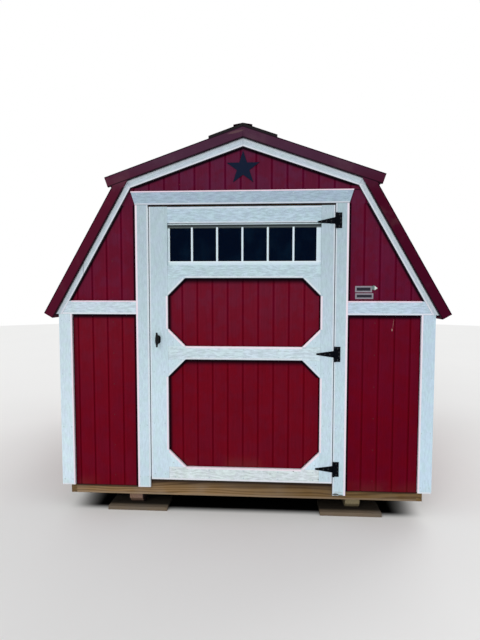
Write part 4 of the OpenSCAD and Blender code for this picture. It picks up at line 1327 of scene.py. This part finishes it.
@dataclass
class Trim:
    """The white boards of the walls and gables, their nails and flashing, and the star."""

    shop: Workshop
    corner_mid: float = 1.2045
    corner_x: float = 1.249
    board_half: float = 0.0445
    jamb_mid: Pair = (-0.6745, 0.6445)
    head_top_x: Pair = (-0.745, 0.715)
    flash_end: float = 1.161
    leaf_gap: Pair = (-0.632, 0.602)
    strip_w: float = 0.0023
    strip_z: Pair = (0.24, 2.06)
    nail_off: float = 0.028
    corner_nails: Row = (0.21, 1.31, 4)
    side_nails: Row = (0.21, 1.29, 4)
    gable_nails: tuple[Row, Row] = ((0.10, 0.86, 3), (0.12, 0.76, 3))
    gable_shares: Pair = (0.9, 1.0)
    gable_depths: Pair = (0.040, 0.092)
    jamb_nail_off: float = 0.026
    jamb_nails: Row = (0.24, 2.03, 6)
    band_nail_in: float = 0.017
    band_nail_x: tuple[float, ...] = (-1.10, -0.93, -0.755, 0.725, 0.91, 1.10)
    back_band_nails: Row = (-1.08, 1.08, 6)
    head_nails: Row = (-0.70, 0.67, 5)
    head_nail_z: Pair = (2.094, 2.147)

    def build(self) -> None:
        """Paints the boards, nails them and lays the flashing."""
        band_low, head_low = WALL.band_z[0], WALL.head_z[0]
        # Painted light and shade on the corner boards: brighter lower down, darker on the right, painted shadow on the
        # left board's inner side face, painted highlights along the inner and lower edges; a grey real joint under the
        # band.
        corner = TrimPaint(
            "corner_paint", Grain.UPRIGHT, (0.591, 0.723, 0.799), soil_z=0.12, fade=(0.2, 1.4, 1.12, 0.96),
            tints=(ToneOrShade((0.497, 0.644, 0.745)),),
            seams=(
                level(band_low, 0.0016, JOINT, 0.45), upright(-WALL.corner_in, 0.0016, strength=0.9),
                upright(WALL.corner_in + 0.0045, 0.0075, ROSE_GLINT, 0.75, True), level(0.1765, 0.0060, GLINT, 0.6),
            ),
        )
        paint(corner, "end_corner_boards", "side_corner_boards")
        chips = (
            Mark(0.622, 0.150, 0.022, 0.007, (0.05, 0.04, 0.02), 0.9),
            Mark(0.655, 0.146, 0.020, 0.004, (0.08, 0.07, 0.04), 0.85),
            Mark(0.640, 0.164, 0.030, 0.007, (0.40, 0.42, 0.38), 0.4),
        )
        # Painted shadow on the jambs' outer side faces and painted highlights along their edges, beside the leaf and at
        # the left foot; brighter lower down and darker on the right as painted light and shade.
        edges: list[Seam] = []
        for x, way in zip(WALL.jambs_out, (1.0, -1.0)):
            edges += [upright(x, 0.0016, strength=0.9), upright(x + way * 0.0060, 0.0090, ROSE_GLINT, 0.85)]
        edges += [upright(x + side * 0.0045, 0.0050, GLINT, 0.5) for x, side in zip(self.leaf_gap, SIDES)]
        edges.append(level(0.1715, 0.0060, GLINT, 0.6, span=(-0.8, 0.0)))
        paint(TrimPaint("jamb_paint", Grain.UPRIGHT, (0.505, 0.640, 0.715), fade=(0.5, 2.1, 1.14, 0.80),
                        tints=(ToneOrShade((0.480, 0.620, 0.695)),), seams=tuple(edges), marks=chips), "door_jamb_boards")
        # The head board's darker colour is painted shade, with a painted highlight and painted shadow along its lower
        # edge; the band boards are darker on the right as painted shade, with a painted highlight along their lower
        # edge.
        paint(TrimPaint("head_paint", Grain.LEVEL, (0.340, 0.446, 0.541), contrast=0.26,
                        seams=(level(head_low + 0.007, 0.0060, GLINT, 0.5), level(head_low, 0.0030))),
              "door_head_board")
        paint(TrimPaint("band_paint", Grain.LEVEL, (0.545, 0.66, 0.736), contrast=0.26,
                        tints=(ToneOrShade((0.476, 0.602, 0.714)),), seams=(level(band_low + 0.0060, 0.0060, GLINT, 0.7),)),
              "band_boards")
        # Along the gable boards: a pale band as painted light beside the rake trim, painted shadow at the rake trim's
        # edge, painted highlights along their inner edges and painted shadow on their inner side faces; then a dark
        # joint in the lower left board.
        light_and_shade_lines = [
            ROOF.seam(upper, inside, half, colour, strength, core=core)
            for upper in (False, True)
            for inside, half, colour, strength, core in (
                (0.0750 - ROOF.board[upper], 0.0075, (0.66, 0.73, 0.79), 0.75, 0.5),
                (0.0680 - ROOF.board[upper], 0.0024, SHADOW, 0.75, 0.45),
                (-0.0050, 0.0065, (0.72, 0.74, 0.82), 0.80, 0.5),
                (0.0010, 0.0022, SHADOW, 0.90, 0.6),
            )
        ]
        light_and_shade_lines.append(upright(-1.0735, 0.0024, strength=0.65, span=(1.56, 1.70)))
        paint(TrimPaint("gable_paint", Grain.SLOPES, (0.505, 0.600, 0.670), contrast=0.20, seams=tuple(light_and_shade_lines)),
              "gable_boards")
        paint(BlackCoat("star_black", (0.0055, 0.0110, 0.0300)), "gable_star")
        self.shop.drive("trim_nails", self.nail_spots(), WHITE_NAIL)
        self.flash()

    def flash(self) -> None:
        """Lays the pale flashing on the band boards and the head board, its pale pink partly a painted highlight, and a
        pale strip in the gap beside the leaf as painted light.
        """
        # The flashing's pale pink is partly a painted highlight along the tops of the boards.
        strip = TrimPaint("flashing_paint", Grain.LEVEL, (0.84, 0.66, 0.76), 0.0004, 0.06)
        y0, y1 = -WALL.board_y, -WALL.siding_y
        (left, right), band_top, head_top = WALL.jambs_out, WALL.band_z[1], WALL.head_z[1]
        runs = (
            ("band_flashing_left", (-self.flash_end, left), band_top),
            ("band_flashing_right", (right, self.flash_end), band_top),
            ("head_flashing", self.head_top_x, head_top),
        )
        profile = (
            (y0 - 0.0006, -0.006), (y0 - 0.0006, 0.0012), (y1 - 0.0004, 0.0022), (y1 - 0.0004, 0.0), (y0, 0.0),
            (y0, -0.006),
        )
        for name, ends, z in runs:
            loops = [[(x, y, z + up) for y, up in profile] for x in ends]
            add_piece(stacked(name, loops), strip, Body.ROOT)
        # A pale strip in the gap beside the leaf: painted light where the jamb's inner side is lit.
        x0, x1 = self.leaf_gap[0], self.leaf_gap[0] + self.strip_w
        outline = ((x0, y0 + 0.0005), (x1, y0 + 0.0012), (x1, y1), (x0, y1))
        pale = TrimPaint("gap_light_strip_paint", Grain.UPRIGHT, (0.80, 0.88, 0.92), 0.0003, 0.04)
        loops = [[(x, y, z) for x, y in outline] for z in self.strip_z]
        add_piece(stacked("gap_light_strip", loops), pale, Body.ROOT)

    def nail_spots(self) -> list[Spot]:
        """Finds where the boards are nailed.

        Returns:
            The spots, kind by kind of board.
        """
        spots: list[Spot] = []
        for facing in (FRONT, BACK):
            y = facing[1] * WALL.board_y
            for side in SIDES:
                xs = [side * self.corner_mid + off for off in both(self.nail_off)]
                spots += grid(xs, even(*self.corner_nails), facing=facing)
                for depth in self.gable_depths:
                    for upper in (True, False):
                        row, inside = even(*self.gable_nails[upper]), depth * self.gable_shares[upper]
                        spots += [ROOF.spot(side, upper, along, inside, y, facing) for along in row]
        for side in SIDES:
            for end in SIDES:
                ys = [end * (WALL.siding_y - self.board_half) + off for off in both(self.nail_off)]
                spots += side_grid(side, self.corner_x, ys, even(*self.side_nails))
        spots += grid([x + off for x in self.jamb_mid for off in both(self.jamb_nail_off)], even(*self.jamb_nails))
        for z in (WALL.band_z[0] + self.band_nail_in, WALL.band_z[1] - self.band_nail_in):
            spots += grid(self.band_nail_x, (z,)) + grid(even(*self.back_band_nails), (z,), facing=BACK)
        return spots + grid(even(*self.head_nails), self.head_nail_z)


@dataclass
class SmallPlates:
    """Two small bare plates and a pointed tab on the right-hand shoulder."""

    plates: tuple[tuple[str, Pair, Pair], ...] = (
        ("upper_plate", (0.734, 0.843), (1.502, 1.543)), ("lower_plate", (0.735, 0.852), (1.458, 1.496)),
    )
    tab: tuple[Pair, ...] = (
        (0.841, 1.522), (0.8575, 1.5155), (0.8765, 1.5265), (0.8765, 1.5310), (0.8545, 1.5472), (0.8415, 1.541),
    )
    tab_middle: Pair = (0.859, 1.530)
    tab_taper: float = 0.08
    tab_outs: tuple[float, ...] = (0.0017, 0.0028, 0.0034)
    thick: float = 0.0016

    def build(self) -> None:
        """Makes the plates and the tab."""
        steps = ((0.0, 0.0), (0.0, self.thick * 0.7), (0.001, self.thick), (0.009, self.thick), (0.010, 0.0009))
        for name, (x0, x1), (z0, z1) in self.plates:
            loops = [
                self.outlined(((x0 + by, z0 + by), (x1 - by, z0 + by), (x1 - by, z1 - by), (x0 + by, z1 - by)), out)
                for by, out in steps
            ]
            metal = BarePlate(name + "_metal", ((x0 + x1) / 2, (z0 + z1) / 2), ((x1 - x0) / 2, (z1 - z0) / 2))
            add_piece(stacked(name, loops), metal, Body.ROOT)
        mid_x, mid_z = self.tab_middle
        inner = [(x + (mid_x - x) * self.tab_taper, z + (mid_z - z) * self.tab_taper) for x, z in self.tab]
        loops = [self.outlined(corners, out) for corners, out in zip((self.tab, self.tab, inner), self.tab_outs)]
        pale = TrimPaint("tab_paint", Grain.LEVEL, (0.13, 0.19, 0.18), 0.0003, 0.06, gloss=0.2,
                         tints=(ToneOrShade((0.66, 0.70, 0.68), 0.8590),))
        add_piece(stacked("pointed_tab", loops), pale, Body.ROOT)

    def outlined(self, corners: Iterable[Pair], out: float) -> list[Point]:
        """A loop through places in X and Z, a distance out of the siding."""
        return [(x, -WALL.siding_y - out, z) for x, z in corners]


@dataclass
class DoorLeaf:
    """The leaf: skin, stiles, rails, braces, back frame and its row of panes."""

    shop: Workshop
    x: Pair = (-0.623, 0.597)
    z: Pair = (0.224, 2.064)
    panel_x: Pair = (-0.501, 0.510)
    panels: tuple[Pair, Pair] = ((0.314, 1.050), (1.140, 1.594))
    window_z: Pair = (1.679, 1.954)
    pane_x: Pair = (-0.487, 0.480)
    pane_z: Pair = (1.706, 1.929)
    bar_mid: float = -0.0042
    bar_pitch: float = 0.1674
    bar_w: float = 0.0132
    bar_chamfer: float = 0.0028
    bar_lip: float = 0.0035
    bar_y: float = 1.543
    glass_y: float = 1.535
    bars: int = 5
    brace: float = 0.117
    stile_nail_x: tuple[float, ...] = (-0.600, -0.528, 0.534, 0.574)
    stile_nails: Row = (0.262, 2.02, 6)
    rail_nails: Row = (-0.46, 0.47, 5)
    rail_nail_in: float = 0.020
    brace_nail_in: float = 0.030

    def diagonals(self, top: bool, off: float, half: float, *look: object, **more: object) -> list[Seam]:
        """Lines along the long edges of the corner braces.

        Args:
            top: Whether they are the braces at the tops of the panels.
            off: How far the lines lie past the edges, towards the panels' middles.
            half: Half their width.
            look: Further fields of a Seam, in order.
            more: Further fields of a Seam, by name.

        Returns:
            The four lines.
        """
        root = math.sqrt(0.5)
        lines = []
        for low, high in self.panels:
            z, up, span = (high, -1.0, (high - self.brace, high)) if top else (low, 1.0, (low, low + self.brace))
            for x, way in zip(self.panel_x, (1.0, -1.0)):
                reach = (way * x + up * z + self.brace) * root + off
                lines.append(Seam(way * root, up * root, reach, half, *look, span=span, **more))
        return lines

    def build(self) -> None:
        """Dresses the leaf, sets the window's bars and nails the boards."""
        left, right = self.panel_x
        clear = [(low + self.brace, high - self.brace) for low, high in self.panels]
        clear_x = (left + self.brace, right - self.brace)
        # Painted shadow on the skin beside the stiles, along the panels' tops and bottoms and along the braces; higher
        # up the skin is purpler as painted sky reflection.
        edges = (
            upright(left, 0.028, strength=0.92, core=0.24), upright(right, 0.0110, strength=0.93, core=0.5),
            *(level(high - 0.001, 0.046, strength=0.95, core=0.20) for _, high in self.panels),
            *(level(low, 0.0035) for low, _ in self.panels),
            *self.diagonals(True, 0.002, 0.020, strength=0.93, core=0.45),
            *self.diagonals(False, 0.002, 0.0075, strength=0.75),
        )
        paint(SidingPaint("siding_leaf", (0.1395, 0.0031, 0.0124), (0.1330, 0.0077, 0.0225), (1.0, 1.5), 0.0,
                          soil_z=self.panels[0][0], seams=edges), "door_skin")
        # Painted highlights along the leaf's foot, beside the panels and beside the gaps, and painted shadow on the
        # stiles' inner sides; the stiles are brighter lower down and darker on the right as painted light and shade.
        foot = level(self.z[0] + 0.0050, 0.0080, GLINT, 0.75)
        joints = [upright(x, 0.0014, JOINT, 0.35) for x in self.panel_x]
        sides = [upright(x, 0.0030, strength=0.9, span=span) for x in self.panel_x for span in clear]
        sides += [upright(x, 0.0085, ROSE_GLINT, 0.80, span=span) for x in (left - 0.0075, right + 0.0065) for span in clear]
        sides += [upright(x - side * 0.0045, 0.0050, GLINT, 0.5) for x, side in zip(self.x, SIDES)]
        paint(TrimPaint("stile_paint", Grain.UPRIGHT, fade=(0.5, 2.1, 1.13, 0.80),
                        tints=(ToneOrShade((0.503, 0.635, 0.716)),), seams=(*joints, *sides, foot)), "door_stiles")
        # Painted highlights and painted shadow along the rails' edges, the leaf's top and the window; the rails get
        # darker higher up as painted shade.
        light_and_shade_lines = [
            seam for low, high in self.panels for seam in (
                level(low - 0.0050, 0.0090, ROSE_GLINT, 0.80, span=clear_x, core=0.55),
                level(high + 0.0085, 0.0070, GLINT, 0.55, span=clear_x), level(high, 0.0040, span=clear_x),
            )
        ]
        window_top, leaf_top = self.window_z[1], self.z[1]
        crown = (
            level(leaf_top - 0.0090, 0.0060, GLINT, 0.5), level(leaf_top, 0.0035),
            level(window_top + 0.0060, 0.0060, GLINT, 0.40, span=self.pane_x),
            level(window_top - 0.0005, 0.0035, span=self.panel_x),
        )
        shades = (((0.568, 0.690, 0.755), 0.90), ((0.472, 0.609, 0.676), 1.55), ((0.434, 0.565, 0.651), 1.90))
        dents = ((0.185, 0.279, 0.0035, 0.0035), (0.340, 0.301, 0.0040, 0.0030), (0.506, 0.249, 0.0030, 0.0050))
        paint(TrimPaint("rail_paint", Grain.LEVEL, (0.665, 0.750, 0.775), contrast=0.28,
                        tints=tuple(ToneOrShade(*shade, True) for shade in shades), seams=(*joints, *light_and_shade_lines, *crown, foot),
                        marks=tuple(Mark(*dent, (0.12, 0.13, 0.13), 0.85) for dent in dents)), "door_rails")
        # On the braces: grey real joints, painted highlights and painted shadow along their long edges, and brighter
        # lower down as painted light.
        legs = (
            *(level(z, 0.0014, JOINT, 0.35) for pair in self.panels for z in pair),
            *self.diagonals(True, -0.0085, 0.0070, GLINT, 0.60), *self.diagonals(True, 0.0, 0.0035),
            *self.diagonals(False, -0.0055, 0.0090, ROSE_GLINT, 0.85, core=0.55),
        )
        paint(TrimPaint("brace_paint", Grain.UPRIGHT, fade=(0.4, 1.7, 1.20, 0.92), seams=legs), "door_corner_braces")
        paint(Lumber("leaf_back_stiles", Grain.UPRIGHT), "door_back_stiles")
        paint(Lumber("leaf_back_rails", Grain.LEVEL), "door_back_rails")
        # On the window frame: a painted highlight on the sill, painted shadow under the rail, and a grey band of
        # painted shade along the top.
        shade = (
            level(self.window_z[0] + 0.026, 0.0060, (0.84, 0.92, 0.96), 0.7),
            level(1.9385, 0.0080, (0.006, 0.011, 0.012), 0.97, core=0.8),
            level(1.9270, 0.0050, (0.080, 0.100, 0.100), 0.92, core=0.75),
        )
        paint(TrimPaint("window_frame_paint", Grain.LEVEL, (0.63, 0.76, 0.83), 0.0004, 0.05, gloss=0.12, seams=shade),
              "window_frame")
        paint(DarkPane("dark_pane"), "window_glass")
        self.window_bars()
        self.shop.drive("leaf_nails", self.nail_spots(), WHITE_NAIL, Body.DOOR)

    def window_bars(self) -> None:
        """The bars on the glass, from one modelled bar that is repeated."""
        half, glass = self.bar_w / 2, -self.glass_y
        steps = ((half, glass), (half, glass - self.bar_lip), (half - self.bar_chamfer, -self.bar_y))
        profile = [(-x, y) for x, y in steps] + list(reversed(steps))
        bar = stacked("window_bar", [[(x, y, z) for x, y in profile] for z in self.pane_z])
        start = self.bar_mid - self.bar_pitch * (self.bars - 1) / 2
        values = {"Count": self.bars, "Start Location": (start, 0.0, 0.0), "Offset": (self.bar_pitch, 0.0, 0.0)}
        finish = TrimPaint("window_bar_paint", Grain.UPRIGHT, (0.70, 0.82, 0.89), 0.0004, 0.04, gloss=0.12)
        add_piece(self.shop.rows.run("window_bars", bar, values), finish, Body.DOOR)

    def nail_spots(self) -> list[Spot]:
        """Finds where the leaf's boards are nailed.

        Returns:
            The spots: stiles, rails, then braces.
        """
        spots, off = grid(self.stile_nail_x, even(*self.stile_nails)), self.brace_nail_in
        ends = (self.z[0], *self.panels[0], *self.panels[1], *self.window_z, self.z[1])
        for low, high in zip(ends[::2], ends[1::2]):
            for z in (low + self.rail_nail_in, high - self.rail_nail_in):
                spots += grid(even(*self.rail_nails), (z,))
        for low, high in self.panels:
            for x, way in zip(self.panel_x, (1, -1)):
                spots += grid((x + way * off,), (low + off, high - off))
        return spots


@dataclass
class Ironmongery:
    """Hinges and T handle, with their screws."""

    shop: Workshop
    hinge_x: float = 0.6065
    strap_drop: float = 0.009 / 0.116
    hinge_z: tuple[float, ...] = (0.322, 1.095, 1.966)
    plate_y: float = 1.5565
    plate_holes: tuple[Pair, ...] = ((0.017, 0.037), (0.027, 0.013), (0.027, -0.013), (0.017, -0.037))
    strap_holes: tuple[float, ...] = (0.034, 0.066, 0.098)
    handle: Pair = (-0.570, 1.185)
    base_hole: float = 0.021
    base_y: float = 1.558

    def build(self) -> None:
        """Dresses the black metal and drives its screws."""
        paint(BlackCoat("powder_black"), "hinge_plates", "hinge_straps")
        paint(BlackCoat("handle_black", (0.0016, 0.0022, 0.0030), 0.16), "handle_base", "t_handle")
        fixed = [
            spot for z in self.hinge_z for x, up in self.plate_holes
            for spot in grid((self.hinge_x + x,), (z + up,), self.plate_y)
        ]
        self.shop.drive("hinge_plate_screws", fixed, PAN_SCREW)
        drops = (0.0, 0.0, self.strap_drop)
        moving = [
            spot for z, drop in zip(self.hinge_z, drops) for x in self.strap_holes
            for spot in grid((self.hinge_x - x,), (z - x * drop,), self.plate_y)
        ]
        self.shop.drive("hinge_strap_screws", moving, PAN_SCREW, Body.DOOR)
        x, z = self.handle
        base = grid((x,), (z - self.base_hole, z + self.base_hole), self.base_y)
        self.shop.drive("handle_screws", base, PAN_SCREW, Body.DOOR)


@dataclass
class Studio:
    """The pale floor, the soft lamps, the sky and the camera."""

    eye: Point = (0.180, -4.721, 1.524)
    turn: float = math.radians(3.59)
    dip: float = math.radians(3.71)
    roll: float = math.radians(0.03)
    lens: float = 27.0
    sensor: float = 36.0
    far: float = 100.0
    floor_r: float = 18.0
    floor_colour: Colour = (0.86, 0.86, 0.855)
    # Painted shade on the floor under the barn, and how far it reaches along X and Y.
    under_colour: Colour = (0.0015, 0.0014, 0.0013)
    under_x: Pair = (1.00, 1.24)
    under_y: Pair = (1.47, 1.56)
    lamps: tuple[tuple[str, Point, float], ...] = (
        ("key_lamp", (0.30, 0.85, -0.45), 0.75), ("fill_lamp", (-0.45, -0.72, -0.75), 0.55),
    )
    lamp_angle: float = math.radians(32.0)
    sky: float = 0.78

    def build(self) -> None:
        """Sets the studio up."""
        self.floor()
        for name, direction, strength in self.lamps:
            data = bpy.data.lights.new(name, "SUN")
            data.energy, data.angle = strength, self.lamp_angle
            lamp = added(name, data)
            lamp.rotation_mode = "QUATERNION"
            lamp.rotation_quaternion = Vector(direction).to_track_quat("-Z", "Y")
        self.world()
        self.camera()

    def floor(self) -> None:
        """The pale floor, a disc with a matt finish, painted near black under the barn as painted shade."""
        made = bmesh.new()
        bmesh.ops.create_circle(made, cap_ends=True, segments=96, radius=self.floor_r)
        coat = Coat("studio_floor")
        colour = coat.shade(self.floor_colour, (coat.noise(coat.place, 0.8, 3.0) - 0.5) * 0.03 + 1.0)
        under = abs(coat.x).ramp(*self.under_x, 1.0, 0.0) * abs(coat.y).ramp(*self.under_y, 1.0, 0.0)
        mesh = as_mesh(made, "studio_floor")
        mesh.materials.append(coat.finish(coat.mix(under, colour, self.under_colour), 0.9, None, 0.0))
        floor = added("studio_floor", mesh)

    def world(self) -> None:
        """An even sky that is white where the camera or a reflection sees it."""
        world = bpy.data.worlds.new("studio_sky")
        world.use_nodes = True
        sheet = NodeSheet(world.node_tree)
        lit, seen = (
            sheet.node("ShaderNodeBackground", None, {"Color": (1.0, 1.0, 1.0), "Strength": strength})
            for strength in (self.sky, 1.0)
        )
        kinds = ("Camera", "Glossy", "Transmission")
        camera, glossy, through = (sheet.node("ShaderNodeLightPath", None, None, f"Is {kind} Ray") for kind in kinds)
        either = camera.highest(glossy).highest(through)
        mixed = sheet.node("ShaderNodeMixShader", None, {0: either, 1: lit, 2: seen})
        sheet.node("ShaderNodeOutputWorld", None, {"Surface": mixed})
        bpy.context.scene.world = world

    def camera(self) -> None:
        """The camera at the photograph's place and angle."""
        data = bpy.data.cameras.new("camera")
        data.sensor_fit = "VERTICAL"
        data.sensor_height, data.lens, data.clip_end = self.sensor, self.lens, self.far
        ahead = math.cos(self.dip)
        look = Vector((-math.sin(self.turn) * ahead, math.cos(self.turn) * ahead, -math.sin(self.dip)))
        turned = look.to_track_quat("-Z", "Y").to_matrix().to_4x4() @ Matrix.Rotation(self.roll, 4, "Z")
        camera = added("camera", data)
        camera.matrix_world = Matrix.Translation(self.eye) @ turned
        bpy.context.scene.camera = camera
        bpy.context.scene.view_settings.view_transform = "Standard"


def main() -> None:
    """Builds the barn's dress in order, and logs each part when it is done."""
    logging.basicConfig(level=logging.INFO, format="%(name)s: %(message)s")
    shop = Workshop()
    parts = (
        Studio(), Floor(shop), WallFrame(), RoofFrame(shop), Siding(shop), Roofing(shop), Trim(shop), SmallPlates(),
        DoorLeaf(shop), Ironmongery(shop),
    )
    for part in parts:
        part.build()
        LOG.info("%s is done", type(part).__name__)


if __name__ == "__main__":
    main()
